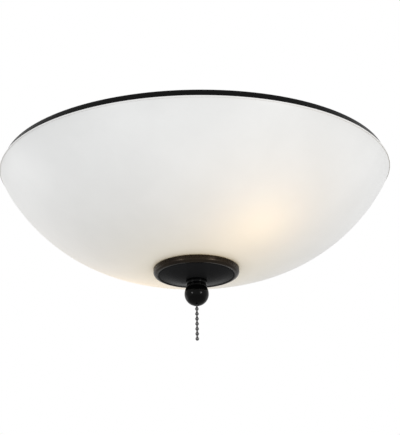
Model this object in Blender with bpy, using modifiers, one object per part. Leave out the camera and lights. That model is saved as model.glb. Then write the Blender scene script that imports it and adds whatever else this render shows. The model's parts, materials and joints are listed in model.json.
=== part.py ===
"""Ceiling fan light kit: a shallow opal glass bowl under a black steel fitter pan.

Metres, +Z up. The origin is the centre of the hub's top face, which seats against the fan.
The bowl hangs from a hollow stem and is held up by a ball finial, and the pull chain of the
switch runs down through the stem. Two lamps lie back to back across the stem.
"""

import math

import bmesh
import bpy
from mathutils import Matrix, Vector

# Clearances shared by all pieces
GAP = 0.0003
CUT_OVERRUN = 0.002
MERGE = 0.00001
MITRE_LIMIT_SHARE = 0.5
SHARP_FROM_DEG = 35

# Roundness shared by small pieces: sides round a turn, and steps in a bend
HOLE_SIDES = 12
RING_SIDES = 16
HEX_SIDES = 6
BEND_STEPS = 2
WIRE_BEVEL_RESOLUTION = 2

# Shape shared by all pan head screws, as shares of head and shank
SCREW_SIDES = 10
SCREW_POINT_SHARE = 0.70
SCREW_CHAMFER_SHARE = 0.30
SCREW_CROWN_HEIGHT_SHARE = 0.67
SCREW_CROWN_RADIUS_SHARE = 0.75
SCREW_SLOT_SHARE = 0.12

# Fitter pan
HUB_RADIUS = 0.056
HUB_HEIGHT = 0.0266
HUB_CORNER = 0.004
HUB_FOOT_CORNER = 0.003
PAN_SHEET = 0.001
PAN_TOP_INSET = 0.0039
PAN_FOOT_INSET = 0.0018
PAN_SKIRT = 0.0064
PAN_CORNER = 0.0012
WIRE_HOLE_RADIUS = 0.0105
PAN_SIDES = 48
PAN_BEND_STEPS = 1

# Snap bushing in the wire hole
BUSHING_BORE_RADIUS = 0.0085
BUSHING_FLANGE_RADIUS = 0.0130
BUSHING_FLANGE = 0.0020

# Screws that hold the hub to the fan
MOUNT_SCREW_INSET = 0.016
MOUNT_SCREW_RADIUS = 0.0020
MOUNT_SCREW_HEAD_RADIUS = 0.0042
MOUNT_SCREW_HEAD = 0.0026
MOUNT_SCREW_REACH = 0.0070
MOUNT_SCREW_COUNT = 3
MOUNT_HOLE_RADIUS = 0.0026

# Glass bowl, a turned superellipse with a flat seat under its middle
GLASS_RADIUS = 0.1715
GLASS_DEPTH = 0.0926
GLASS_WALL = 0.0035
GLASS_EDGE_ROUND = 0.0009
GLASS_SEAT_CUT = 0.0023
GLASS_HOLE_RADIUS = 0.0070
GLASS_RADIAL_POWER = 2.71
GLASS_DEPTH_POWER = 1.218
GLASS_SIDES = 48
GLASS_OUTSIDE_STEPS = 10
GLASS_INSIDE_STEPS = 7

# Rubber bushing and fibre washer at the hole of the glass
GROMMET_BORE_RADIUS = 0.0055
GROMMET_FLANGE_RADIUS = 0.0130
GROMMET_FLANGE = 0.0020
WASHER_RADIUS = 0.0180
WASHER_THICKNESS = 0.0015

# Finial plate
PLATE_RADIUS = 0.0373
PLATE_RIM_HEIGHT = 0.0062
PLATE_RIM_ROUND = 0.0028
PLATE_STEP_RADIUS = 0.0326
PLATE_STEP_DEPTH = 0.0055
PLATE_STEP_DROP = 0.0008
PLATE_DEPTH = 0.0112
PLATE_FLAT_RADIUS = 0.0100
PLATE_SHEET = 0.0011
PLATE_HOLE_RADIUS = 0.0056
PLATE_CROWN_SHARE = 0.62
PLATE_SIDES = 36

# Ball finial
COLLAR_RADIUS = 0.0092
COLLAR_HEIGHT = 0.0032
COLLAR_GROOVE_RADIUS = 0.0088
BALL_RADIUS = 0.0106
BALL_DROP = 0.0121
FINIAL_THREAD_RADIUS = 0.0055
FINIAL_MOUTH_RADIUS = 0.0026
FINIAL_MOUTH_FLARE = 0.0008
FINIAL_ENGAGEMENT = 0.0044
BALL_SIDES = 24
BALL_STEPS = 9

# Stem and what clamps it to the strap
STEM_RADIUS = 0.0051
STEM_BORE_RADIUS = 0.0032
STEM_CHAMFER = 0.0005
STEM_IN_COUPLING = 0.0070
COUPLING_ACROSS_FLATS = 0.0150
COUPLING_LENGTH = 0.0150
COUPLING_BORE_RADIUS = 0.0055
LOCK_WASHER_RADIUS = 0.0085
LOCK_WASHER_THICKNESS = 0.0008
STEM_NUT_ACROSS_FLATS = 0.0145
STEM_NUT_THICKNESS = 0.0042

# U strap across the hub opening
STRAP_WIDTH = 0.026
STRAP_SHEET = 0.0015
STRAP_BEND = 0.0022
STRAP_PAST_HUB = 0.020
STRAP_LEG_INSIDE = 0.0135
STRAP_FLOOR_DROP = 0.0020
STRAP_HOLE_RADIUS = 0.0024
STRAP_SCREW_PAST_HUB = 0.011
STRAP_SCREW_RADIUS = 0.0019
STRAP_SCREW_HEAD_RADIUS = 0.0038
STRAP_SCREW_HEAD = 0.0022
STRAP_NUT_ACROSS_FLATS = 0.0070
STRAP_NUT_THICKNESS = 0.0026
STRAP_SCREW_PAST_NUT = 0.0012
GROUND_SCREW_INSET = 0.008
GROUND_SCREW_LENGTH = 0.0045

# Lamps: place, lampholder and bulb. Lengths along a lamp run outwards from the stem's axis.
LAMP_AZIMUTH_DEG = -54
LAMP_ABOVE_GLASS_BOTTOM = 0.0508
HOLDER_BACK_RADIUS = 0.0170
HOLDER_MOUTH_RADIUS = 0.0190
HOLDER_BACK_LENGTH = 0.0120
HOLDER_SHOULDER = 0.0030
HOLDER_LENGTH = 0.0380
HOLDER_FLOOR = 0.0080
HOLDER_BORE_RADIUS = 0.0144
HOLDER_EDGE = 0.0015
HOLDER_SCREW_RADIUS = 0.0019
HOLDER_SCREW_LENGTH = 0.0055
HOLDER_SCREW_HEAD_RADIUS = 0.0034
HOLDER_SCREW_HEAD = 0.0020
HOLDER_SIDES = 16
SHELL_WALL = 0.0005
SHELL_LENGTH = 0.0240
SHELL_FLANGE = 0.0040
CONTACT_LENGTH = 0.0120
CONTACT_WIDTH = 0.0046
CONTACT_SHEET = 0.0005
CONTACT_RISE = 0.0018
CONTACT_BEND_SHARE = 0.33
CONTACT_END_SHARE = 0.67
BULB_TIP_RADIUS = 0.0036
BULB_TIP_HEIGHT = 0.0010
BULB_TIP_SHARES = ((1.0, 1.0), (0.8, 0.3), (0.4, 0.0))
BULB_INSULATOR_RADIUS = 0.0100
BULB_INSULATOR_HEIGHT = 0.0024
BULB_INSULATOR_NOSE_SHARE = 0.5
BULB_BASE_RADIUS = 0.0131
BULB_BASE_WALL = 0.0008
BULB_BASE_LENGTH = 0.0205
BULB_HOUSING_RADIUS = 0.0190
BULB_NECK_LENGTH = 0.0029
BULB_FLARE_SHARES = ((0.98, 1.0), (1.0, 0.92), (0.90, 0.57), (0.55, 0.20), (0.15, 0.0))
BULB_GLOBE_RADIUS = 0.0230
BULB_GLOBE_WALL = 0.0012
BULB_GLOBE_FOOT_SHARE = 0.596
BULB_REACH_SHARE = 0.634
BULB_SIDES = 16
GLOBE_OUTSIDE_STEPS = 7
GLOBE_INSIDE_STEPS = 5

# Pull switch, above the stem between the legs of the strap
NIPPLE_RADIUS = 0.0047
NIPPLE_BORE_RADIUS = 0.0026
NIPPLE_LENGTH = 0.0110
NIPPLE_NUT_RADIUS = 0.0072
NIPPLE_NUT = 0.0026
SWITCH_WALL = 0.0020
SWITCH_THICKNESS = 0.0170
SWITCH_WIDTH = 0.0260
SWITCH_HEIGHT = 0.0220
SWITCH_OFFSET = 0.0030
SWITCH_COVER = 0.0018
DRUM_CHAIN_RADIUS = 0.0060
DRUM_CORE_RADIUS = 0.0040
DRUM_FLANGE_RADIUS = 0.0070
DRUM_FLANGE = 0.0009
DRUM_GROOVE = 0.0044
PIN_RADIUS = 0.0014
SPRING_RADIUS = 0.0034
SPRING_WIRE_RADIUS = 0.0003
SPRING_TURNS = 2
SPRING_POINTS_PER_TURN = 8
SWITCH_BLADE_SHEET = 0.0005
SWITCH_BLADE_WIDTH = 0.0040
SWITCH_BLADE_LENGTH = 0.0060
SWITCH_BLADE_SPACING = 0.0070

# Bead chain
BEAD_RADIUS = 0.00160
BEAD_PITCH = 0.00452
CHAIN_LINK_RADIUS = 0.00042
CHAIN_HINGE_GAP = 0.0005
FIRST_BEAD_BELOW_BALL = 0.0029
HIDDEN_BEADS = 21
LINK_BEADS = 1
TAIL_BEADS = 5
BEAD_ARC_DEG = 72
BEAD_SIDES = 8
BEAD_STEPS = 4
HIDDEN_BEAD_SIDES = 6
HIDDEN_BEAD_STEPS = 2

# Leads and wire connectors
LEAD_RADIUS = 0.0011
LEAD_HOLE_RADIUS = 0.0015
LEAD_HOLE_DEPTH = 0.0025
LEAD_EXIT_ALONG = 0.0060
LEAD_EXIT_ACROSS = 0.0090
LEAD_POINTS = 9
LEAD_RISE = 0.016
CONNECTOR_MOUTH_RADIUS = 0.0056
CONNECTOR_TIP_RADIUS = 0.0046
CONNECTOR_LENGTH = 0.0170
CONNECTOR_WALL = 0.0011
CONNECTOR_INSET = 0.022
CONNECTOR_BELOW_HUB = 0.0040
LEAD_BUNDLE_RADIUS = 0.0019
CONNECTOR_SPACING = 0.0155
SWITCH_LEAD_SPACING = 0.0080

# Heights and other sizes, worked out from the ones above
PAN_FLAT_Z = -HUB_HEIGHT
PAN_UNDERSIDE_Z = PAN_FLAT_Z - PAN_SHEET
PAN_TOP_RADIUS = GLASS_RADIUS - PAN_TOP_INSET
PAN_FOOT_RADIUS = GLASS_RADIUS - PAN_FOOT_INSET
GLASS_RIM_Z = PAN_FLAT_Z - PAN_SKIRT - GAP
GLASS_SEAT_DEPTH = GLASS_DEPTH - GLASS_SEAT_CUT
GLASS_SEAT_Z = GLASS_RIM_Z - GLASS_SEAT_DEPTH
PLATE_TOP_Z = GLASS_SEAT_Z - GAP
PLATE_BOTTOM_Z = GLASS_SEAT_Z - PLATE_DEPTH
FINIAL_TOP_Z = PLATE_BOTTOM_Z - GAP
BALL_CENTRE_Z = FINIAL_TOP_Z - BALL_DROP
STEM_FOOT_Z = FINIAL_TOP_Z - FINIAL_ENGAGEMENT
LAMP_Z = GLASS_RIM_Z - GLASS_DEPTH + LAMP_ABOVE_GLASS_BOTTOM
MOUNT_SCREW_CIRCLE = HUB_RADIUS - MOUNT_SCREW_INSET
STRAP_REACH = HUB_RADIUS + STRAP_PAST_HUB
STRAP_SCREW_AT = HUB_RADIUS + STRAP_SCREW_PAST_HUB
GROUND_SCREW_AT = HUB_RADIUS - GROUND_SCREW_INSET
STRAP_TOP_Z = PAN_UNDERSIDE_Z - GAP
STRAP_FLOOR_Z = LAMP_Z - HOLDER_MOUTH_RADIUS - STRAP_FLOOR_DROP
LOCK_WASHER_Z = STRAP_FLOOR_Z + GAP
COUPLING_Z = LOCK_WASHER_Z + LOCK_WASHER_THICKNESS + GAP
COUPLING_TOP_Z = COUPLING_Z + COUPLING_LENGTH
NIPPLE_NUT_Z = COUPLING_TOP_Z + GAP
SWITCH_Z = NIPPLE_NUT_Z + NIPPLE_NUT + GAP
SWITCH_TOP_Z = SWITCH_Z + SWITCH_HEIGHT
HOLDER_BACK = STRAP_LEG_INSIDE + STRAP_SHEET + GAP
BULB_TIP = HOLDER_BACK + HOLDER_FLOOR + GAP + CONTACT_RISE + CONTACT_SHEET + GAP
BULB_LENGTH = GLASS_RADIUS * BULB_REACH_SHARE - BULB_TIP
FIRST_BEAD_Z = BALL_CENTRE_Z - BALL_RADIUS - FIRST_BEAD_BELOW_BALL
DRUM_Z = FIRST_BEAD_Z + HIDDEN_BEADS * BEAD_PITCH
CONNECTOR_TOP_Z = -PAN_SHEET - CONNECTOR_BELOW_HUB
CONNECTOR_ACROSS = HUB_RADIUS - CONNECTOR_INSET
LINE_CONNECTOR_ACROSS = CONNECTOR_ACROSS - CONNECTOR_SPACING

LAMP_AZIMUTH = math.radians(LAMP_AZIMUTH_DEG)


def clear_scene():
    for old in list(bpy.data.objects):
        bpy.data.objects.remove(old, do_unlink=True)


def new_collection(name):
    made = bpy.data.collections.new(name)
    bpy.context.scene.collection.children.link(made)
    return made


clear_scene()
KIT = new_collection("ceiling_fan_light_kit")
CUTTERS = new_collection("cutters")
CUTTERS.hide_render = True


def finish(name, colour, roughness, metallic=0.0):
    """A Principled material with one colour, roughness and metallic value."""
    made = bpy.data.materials.new(name)
    made.use_nodes = True
    shader = made.node_tree.nodes["Principled BSDF"]
    shader.inputs["Base Color"].default_value = (*colour, 1.0)
    shader.inputs["Roughness"].default_value = roughness
    shader.inputs["Metallic"].default_value = metallic
    made.diffuse_color = (*colour, 1.0)
    return made


BLACK_STEEL = finish("black_steel", (0.012, 0.011, 0.011), 0.32)
BLACK_BRONZE = finish("black_bronze", (0.020, 0.016, 0.014), 0.30, 0.6)
OPAL_GLASS = finish("opal_glass", (0.86, 0.86, 0.85), 0.25)
ZINC_STEEL = finish("zinc_steel", (0.62, 0.62, 0.60), 0.35, 1.0)
BRASS = finish("brass", (0.72, 0.55, 0.27), 0.30, 1.0)
PORCELAIN = finish("porcelain", (0.82, 0.80, 0.75), 0.25)
BLACK_PLASTIC = finish("black_plastic", (0.03, 0.03, 0.03), 0.45)
WHITE_PLASTIC = finish("white_plastic", (0.83, 0.83, 0.81), 0.40)
GLOBE = finish("bulb_globe", (0.95, 0.90, 0.80), 0.45)
RUBBER = finish("rubber", (0.05, 0.05, 0.05), 0.75)
FIBRE = finish("fibre", (0.28, 0.16, 0.10), 0.80)
CHAIN_METAL = finish("chain_metal", (0.10, 0.10, 0.10), 0.35, 0.9)
WHITE_WIRE = finish("white_wire", (0.85, 0.85, 0.83), 0.45)
BLACK_WIRE = finish("black_wire", (0.02, 0.02, 0.02), 0.45)
ORANGE_PLASTIC = finish("orange_plastic", (0.80, 0.22, 0.03), 0.50)
GREEN_ZINC = finish("green_zinc", (0.05, 0.32, 0.12), 0.40, 0.7)


def empty(name, location, rotation=(0, 0, 0), parent=None):
    """A frame that pieces are placed in; it has no shape."""
    made = bpy.data.objects.new(name, None)
    made.location = location
    made.rotation_euler = rotation
    made.parent = parent
    KIT.objects.link(made)
    return made


def place(obj, material, location=(0, 0, 0), parent=None, rotation=(0, 0, 0)):
    """Puts a piece into the kit, in the frame of its parent."""
    obj.location = location
    obj.rotation_euler = rotation
    obj.parent = parent
    if material:
        obj.data.materials.append(material)
    KIT.objects.link(obj)
    return obj


def round_shaded(mesh):
    """Smooth shading with the sharp edges kept."""
    mesh.shade_smooth()
    mesh.set_sharp_from_angle(angle=math.radians(SHARP_FROM_DEG))


def arc(centre, radius, start_deg, end_deg, steps):
    """Points of a round stretch from one angle to another, both ends included."""
    points = []
    for step in range(steps + 1):
        angle = math.radians(start_deg + (end_deg - start_deg) * step / steps)
        points.append((centre[0] + radius * math.cos(angle), centre[1] + radius * math.sin(angle)))
    return points


def rounded(corners, steps):
    """A path through corners, each (x, z, radius), with an arc of that radius at each bend."""
    path = [corners[0][:2]]
    for before, corner, after in zip(corners, corners[1:], corners[2:]):
        here = Vector(corner[:2])
        back = (Vector(before[:2]) - here).normalized()
        on = (Vector(after[:2]) - here).normalized()
        radius = corner[2]
        if radius <= 0:
            path.append(tuple(here))
            continue
        half = back.angle(on) / 2
        reach = radius / math.tan(half)
        middle = here + (back + on).normalized() * radius / math.sin(half)
        first = here + back * reach - middle
        turn = first.angle_signed(here + on * reach - middle)
        for step in range(steps + 1):
            path.append(tuple(middle + Matrix.Rotation(-turn * step / steps, 2) @ first))
    path.append(corners[-1][:2])
    return path


def offset_path(path, distance):
    """The same path moved inwards: to the right of its direction of travel."""
    moved = []
    last = len(path) - 1
    for index, point in enumerate(path):
        normals = []
        for start in (index - 1, index):
            if 0 <= start < last:
                step = Vector(path[start + 1]) - Vector(path[start])
                normals.append(Vector((-step.y, step.x)).normalized())
        mean = sum(normals, Vector((0, 0))).normalized()
        stretch = distance / max(mean.dot(normals[0]), MITRE_LIMIT_SHARE)
        moved.append(tuple(Vector(point) - mean * stretch))
    return moved


def wall_loop(path, wall):
    """The closed outline of a wall whose outer side is the path."""
    return path + offset_path(path, wall)[::-1]


def turned(name, profile, sides, material, closed=False, **placing):
    """A turned piece. Its profile of (radius, z) runs down the outer side, top to bottom."""
    mesh = bpy.data.meshes.new(name)
    shape = bmesh.new()
    points = [shape.verts.new((radius, 0, z)) for radius, z in profile]
    for first, second in zip(points, points[1:]):
        shape.edges.new((first, second))
    if closed:
        shape.edges.new((points[-1], points[0]))
    shape.to_mesh(mesh)
    shape.free()
    obj = bpy.data.objects.new(name, mesh)
    screw = obj.modifiers.new("turn", "SCREW")
    screw.axis = "Z"
    screw.angle = math.tau
    screw.steps = sides
    screw.render_steps = sides
    screw.use_smooth_shade = True
    screw.use_merge_vertices = True
    screw.merge_threshold = MERGE
    return place(obj, material, **placing)


def prism(name, sides, radius, bottom, top, material=None, **placing):
    """A straight bar with this many sides, between two heights."""
    mesh = bpy.data.meshes.new(name)
    shape = bmesh.new()
    bmesh.ops.create_cone(
        shape, cap_ends=True, segments=sides, radius1=radius, radius2=radius, depth=top - bottom
    )
    bmesh.ops.translate(shape, vec=(0, 0, (top + bottom) / 2), verts=shape.verts)
    shape.to_mesh(mesh)
    shape.free()
    round_shaded(mesh)
    return place(bpy.data.objects.new(name, mesh), material, **placing)


def block(name, low, high, material=None, **placing):
    """A box between two corners."""
    mesh = bpy.data.meshes.new(name)
    shape = bmesh.new()
    bmesh.ops.create_cube(shape, size=1)
    size = Vector(high) - Vector(low)
    bmesh.ops.scale(shape, vec=size, verts=shape.verts)
    bmesh.ops.translate(shape, vec=(Vector(high) + Vector(low)) / 2, verts=shape.verts)
    shape.to_mesh(mesh)
    shape.free()
    return place(bpy.data.objects.new(name, mesh), material, **placing)


def strip(name, path, width, sheet, material, **placing):
    """Bent sheet metal. The path of (x, z) is its upper side, and the sheet lies below it."""
    mesh = bpy.data.meshes.new(name)
    shape = bmesh.new()
    points = [shape.verts.new((x, -width / 2, z)) for x, z in path]
    edges = [shape.edges.new(pair) for pair in zip(points, points[1:])]
    grown = bmesh.ops.extrude_edge_only(shape, edges=edges)["geom"]
    moved = [item for item in grown if isinstance(item, bmesh.types.BMVert)]
    bmesh.ops.translate(shape, vec=(0, width, 0), verts=moved)
    for face in shape.faces:
        face.normal_update()
    if sum(face.normal.z for face in shape.faces) < 0:
        bmesh.ops.reverse_faces(shape, faces=shape.faces)
    shape.to_mesh(mesh)
    shape.free()
    obj = bpy.data.objects.new(name, mesh)
    solid = obj.modifiers.new("sheet", "SOLIDIFY")
    solid.thickness = sheet
    solid.offset = -1
    solid.use_even_offset = True
    return place(obj, material, **placing)


def cutter(obj):
    """Takes a piece out of the kit and keeps it as a cutter only."""
    obj.hide_render = True
    obj.display_type = "WIRE"
    for group in list(obj.users_collection):
        group.objects.unlink(obj)
    CUTTERS.objects.link(obj)
    return obj


def cut(obj, *tools):
    """Takes each cutter away from a piece."""
    for tool in tools:
        boolean = obj.modifiers.new(f"cut {tool.name}", "BOOLEAN")
        boolean.operation = "DIFFERENCE"
        boolean.object = cutter(tool)
    return obj


def smooth_between(start, rise_start, end, rise_end, count):
    """Points along a smooth curve that leaves and arrives in given directions."""
    a = Vector(start)
    d = Vector(end)
    b = a + Vector(rise_start)
    c = d - Vector(rise_end)
    points = []
    for index in range(count + 1):
        t = index / count
        s = 1 - t
        points.append(a * s**3 + b * 3 * s**2 * t + c * 3 * s * t**2 + d * t**3)
    return points


def tube(name, points, radius, material, **placing):
    """A round wire along a row of points."""
    curve = bpy.data.curves.new(name, "CURVE")
    curve.dimensions = "3D"
    curve.bevel_depth = radius
    curve.bevel_resolution = WIRE_BEVEL_RESOLUTION
    curve.use_fill_caps = True
    spline = curve.splines.new("POLY")
    spline.points.add(len(points) - 1)
    for item, point in zip(spline.points, points):
        item.co = (*point, 1)
    return place(bpy.data.objects.new(name, curve), material, **placing)


def hexagon_radius(across_flats):
    """Radius of a nut's corners, from the size of the spanner that fits it."""
    return across_flats / 2 / math.cos(math.pi / HEX_SIDES)


def screw_profile(head_radius, head, shank_radius, shank):
    """A pan head with its shank standing on it: the head is at and below zero."""
    return [
        (0, shank),
        (shank_radius * SCREW_POINT_SHARE, shank),
        (shank_radius, shank - shank_radius * SCREW_CHAMFER_SHARE),
        (shank_radius, 0),
        (head_radius, 0),
        (head_radius, -head * SCREW_CROWN_HEIGHT_SHARE),
        (head_radius * SCREW_CROWN_RADIUS_SHARE, -head),
        (0, -head),
    ]


def make_screw(name, sizes, material, **placing):
    """A slotted pan head screw whose shank points along +Z of its own frame."""
    head_radius, head, shank_radius, shank = sizes
    profile = screw_profile(head_radius, head, shank_radius, shank)
    screw = turned(name, profile, SCREW_SIDES, material, **placing)
    slot_half = head_radius * SCREW_SLOT_SHARE
    slot = block(
        f"{name} slot",
        (-head_radius - CUT_OVERRUN, -slot_half, -head - CUT_OVERRUN),
        (head_radius + CUT_OVERRUN, slot_half, -head * SCREW_CROWN_HEIGHT_SHARE),
        location=placing.get("location", (0, 0, 0)),
        rotation=placing.get("rotation", (0, 0, 0)),
        parent=placing.get("parent"),
    )
    return cut(screw, slot)


def hole(name, radius, bottom, top, **placing):
    """A round cutter between two faces, which it passes on both sides."""
    return prism(name, HOLE_SIDES, radius, bottom - CUT_OVERRUN, top + CUT_OVERRUN, **placing)


def make_nut(name, across_flats, bore_radius, bottom, top, material, **placing):
    """A hexagon nut between two heights, with a round bore."""
    nut = prism(name, HEX_SIDES, hexagon_radius(across_flats), bottom, top, material, **placing)
    return cut(nut, hole(f"{name} bore", bore_radius, bottom, top, **placing))


def make_fitter_pan(lamp_frame):
    """Black pan with a raised hub. Its skirt rests on the rim of the glass."""
    path = rounded(
        [
            (WIRE_HOLE_RADIUS, 0, 0),
            (HUB_RADIUS, 0, HUB_CORNER),
            (HUB_RADIUS, PAN_FLAT_Z, HUB_FOOT_CORNER),
            (PAN_TOP_RADIUS, PAN_FLAT_Z, PAN_CORNER),
            (PAN_FOOT_RADIUS, PAN_FLAT_Z - PAN_SKIRT, 0),
        ],
        PAN_BEND_STEPS,
    )
    pan = turned(
        "fitter_pan", wall_loop(path, PAN_SHEET), PAN_SIDES, BLACK_STEEL, closed=True
    )
    tools = []
    for index in range(MOUNT_SCREW_COUNT):
        turn = math.tau * index / MOUNT_SCREW_COUNT
        at = (MOUNT_SCREW_CIRCLE * math.cos(turn), MOUNT_SCREW_CIRCLE * math.sin(turn), 0)
        tools.append(
            hole(
                f"mounting hole {index + 1}",
                MOUNT_HOLE_RADIUS,
                -PAN_SHEET,
                0,
                location=at,
                parent=lamp_frame,
            )
        )
        make_screw(
            f"mounting_screw_{index + 1}",
            (
                MOUNT_SCREW_HEAD_RADIUS,
                MOUNT_SCREW_HEAD,
                MOUNT_SCREW_RADIUS,
                MOUNT_SCREW_REACH + PAN_SHEET + GAP,
            ),
            ZINC_STEEL,
            location=(at[0], at[1], -PAN_SHEET - GAP),
            parent=lamp_frame,
        )
    for side in (1, -1):
        tools.append(
            hole(
                f"pan strap hole {side}",
                STRAP_HOLE_RADIUS,
                PAN_UNDERSIDE_Z,
                PAN_FLAT_Z,
                location=(side * STRAP_SCREW_AT, 0, 0),
                parent=lamp_frame,
            )
        )
    cut(pan, *tools)
    bushing = [
        (BUSHING_BORE_RADIUS, -GAP),
        (WIRE_HOLE_RADIUS - GAP, -GAP),
        (WIRE_HOLE_RADIUS - GAP, -PAN_SHEET - GAP),
        (BUSHING_FLANGE_RADIUS, -PAN_SHEET - GAP),
        (BUSHING_FLANGE_RADIUS, -PAN_SHEET - GAP - BUSHING_FLANGE),
        (BUSHING_BORE_RADIUS, -PAN_SHEET - GAP - BUSHING_FLANGE),
    ]
    turned("wire_bushing", bushing, RING_SIDES, BLACK_PLASTIC, closed=True)


def make_strap(lamp_frame):
    """U strap: bars under the pan, legs down to the lamps and a floor that holds the stem."""
    half = [
        (STRAP_LEG_INSIDE, STRAP_FLOOR_Z, STRAP_BEND),
        (STRAP_LEG_INSIDE, STRAP_TOP_Z, STRAP_BEND + STRAP_SHEET),
        (STRAP_REACH, STRAP_TOP_Z, 0),
    ]
    mirrored = [(-x, z, radius) for x, z, radius in reversed(half)]
    path = rounded(mirrored + half, BEND_STEPS)
    strap = strip("strap", path, STRAP_WIDTH, STRAP_SHEET, ZINC_STEEL, parent=lamp_frame)
    tools = [
        hole(
            "strap stem hole",
            STEM_RADIUS + GAP,
            STRAP_FLOOR_Z - STRAP_SHEET,
            STRAP_FLOOR_Z,
            parent=lamp_frame,
        )
    ]
    bar_holes = (STRAP_SCREW_AT, -STRAP_SCREW_AT, -GROUND_SCREW_AT)
    for index, at in enumerate(bar_holes):
        tools.append(
            hole(
                f"strap bar hole {index + 1}",
                STRAP_HOLE_RADIUS,
                STRAP_TOP_Z - STRAP_SHEET,
                STRAP_TOP_Z,
                location=(at, 0, 0),
                parent=lamp_frame,
            )
        )
    for side in (1, -1):
        tools.append(
            hole(
                f"strap leg hole {side}",
                STRAP_HOLE_RADIUS,
                STRAP_LEG_INSIDE,
                STRAP_LEG_INSIDE + STRAP_SHEET,
                location=(0, 0, LAMP_Z),
                rotation=(0, side * math.pi / 2, 0),
                parent=lamp_frame,
            )
        )
    cut(strap, *tools)


def make_strap_fasteners(lamp_frame):
    """Two screws up through strap and pan with nuts on top, and the ground screw."""
    head_z = STRAP_TOP_Z - STRAP_SHEET - GAP
    nut_z = PAN_FLAT_Z + GAP
    nut_top = nut_z + STRAP_NUT_THICKNESS
    for index, side in enumerate((1, -1)):
        at = side * STRAP_SCREW_AT
        make_screw(
            f"strap_screw_{index + 1}",
            (
                STRAP_SCREW_HEAD_RADIUS,
                STRAP_SCREW_HEAD,
                STRAP_SCREW_RADIUS,
                nut_top + STRAP_SCREW_PAST_NUT - head_z,
            ),
            ZINC_STEEL,
            location=(at, 0, head_z),
            parent=lamp_frame,
        )
        make_nut(
            f"strap_nut_{index + 1}",
            STRAP_NUT_ACROSS_FLATS,
            STRAP_SCREW_RADIUS + GAP,
            nut_z,
            nut_top,
            ZINC_STEEL,
            location=(at, 0, 0),
            parent=lamp_frame,
        )
    make_screw(
        "ground_screw",
        (STRAP_SCREW_HEAD_RADIUS, STRAP_SCREW_HEAD, STRAP_SCREW_RADIUS, GROUND_SCREW_LENGTH),
        GREEN_ZINC,
        location=(-GROUND_SCREW_AT, 0, head_z),
        parent=lamp_frame,
    )


def make_stem():
    """Hollow stem, clamped to the strap's floor by a coupling above and a nut below."""
    stem_top = COUPLING_Z + STEM_IN_COUPLING
    stem = [
        (STEM_BORE_RADIUS, stem_top),
        (STEM_RADIUS - STEM_CHAMFER, stem_top),
        (STEM_RADIUS, stem_top - STEM_CHAMFER),
        (STEM_RADIUS, STEM_FOOT_Z + STEM_CHAMFER),
        (STEM_RADIUS - STEM_CHAMFER, STEM_FOOT_Z),
        (STEM_BORE_RADIUS, STEM_FOOT_Z),
    ]
    turned("threaded_stem", stem, RING_SIDES, ZINC_STEEL, closed=True)
    washer = [
        (STEM_RADIUS + GAP, LOCK_WASHER_Z + LOCK_WASHER_THICKNESS),
        (LOCK_WASHER_RADIUS, LOCK_WASHER_Z + LOCK_WASHER_THICKNESS),
        (LOCK_WASHER_RADIUS, LOCK_WASHER_Z),
        (STEM_RADIUS + GAP, LOCK_WASHER_Z),
    ]
    turned("lock_washer", washer, RING_SIDES, ZINC_STEEL, closed=True)
    make_nut(
        "stem_coupling",
        COUPLING_ACROSS_FLATS,
        COUPLING_BORE_RADIUS,
        COUPLING_Z,
        COUPLING_TOP_Z,
        BRASS,
    )
    nut_top = STRAP_FLOOR_Z - STRAP_SHEET - GAP
    make_nut(
        "stem_nut",
        STEM_NUT_ACROSS_FLATS,
        STEM_RADIUS + GAP,
        nut_top - STEM_NUT_THICKNESS,
        nut_top,
        ZINC_STEEL,
    )


def bowl_outline(steps):
    """Outer side of the glass from its rim down to the hole, flat under its middle."""
    path = []
    for step in range(steps + 1):
        angle = math.radians(90 * (1 - step / steps))
        radius = GLASS_RADIUS * math.sin(angle) ** (2 / GLASS_RADIAL_POWER)
        depth = GLASS_DEPTH * math.cos(angle) ** (2 / GLASS_DEPTH_POWER)
        if depth >= GLASS_SEAT_DEPTH:
            break
        path.append((radius, GLASS_RIM_Z - depth))
    share = 1 - (GLASS_SEAT_DEPTH / GLASS_DEPTH) ** GLASS_DEPTH_POWER
    seat_radius = GLASS_RADIUS * share ** (1 / GLASS_RADIAL_POWER)
    path.append((seat_radius, GLASS_SEAT_Z))
    path.append((GLASS_HOLE_RADIUS, GLASS_SEAT_Z))
    return path


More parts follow.
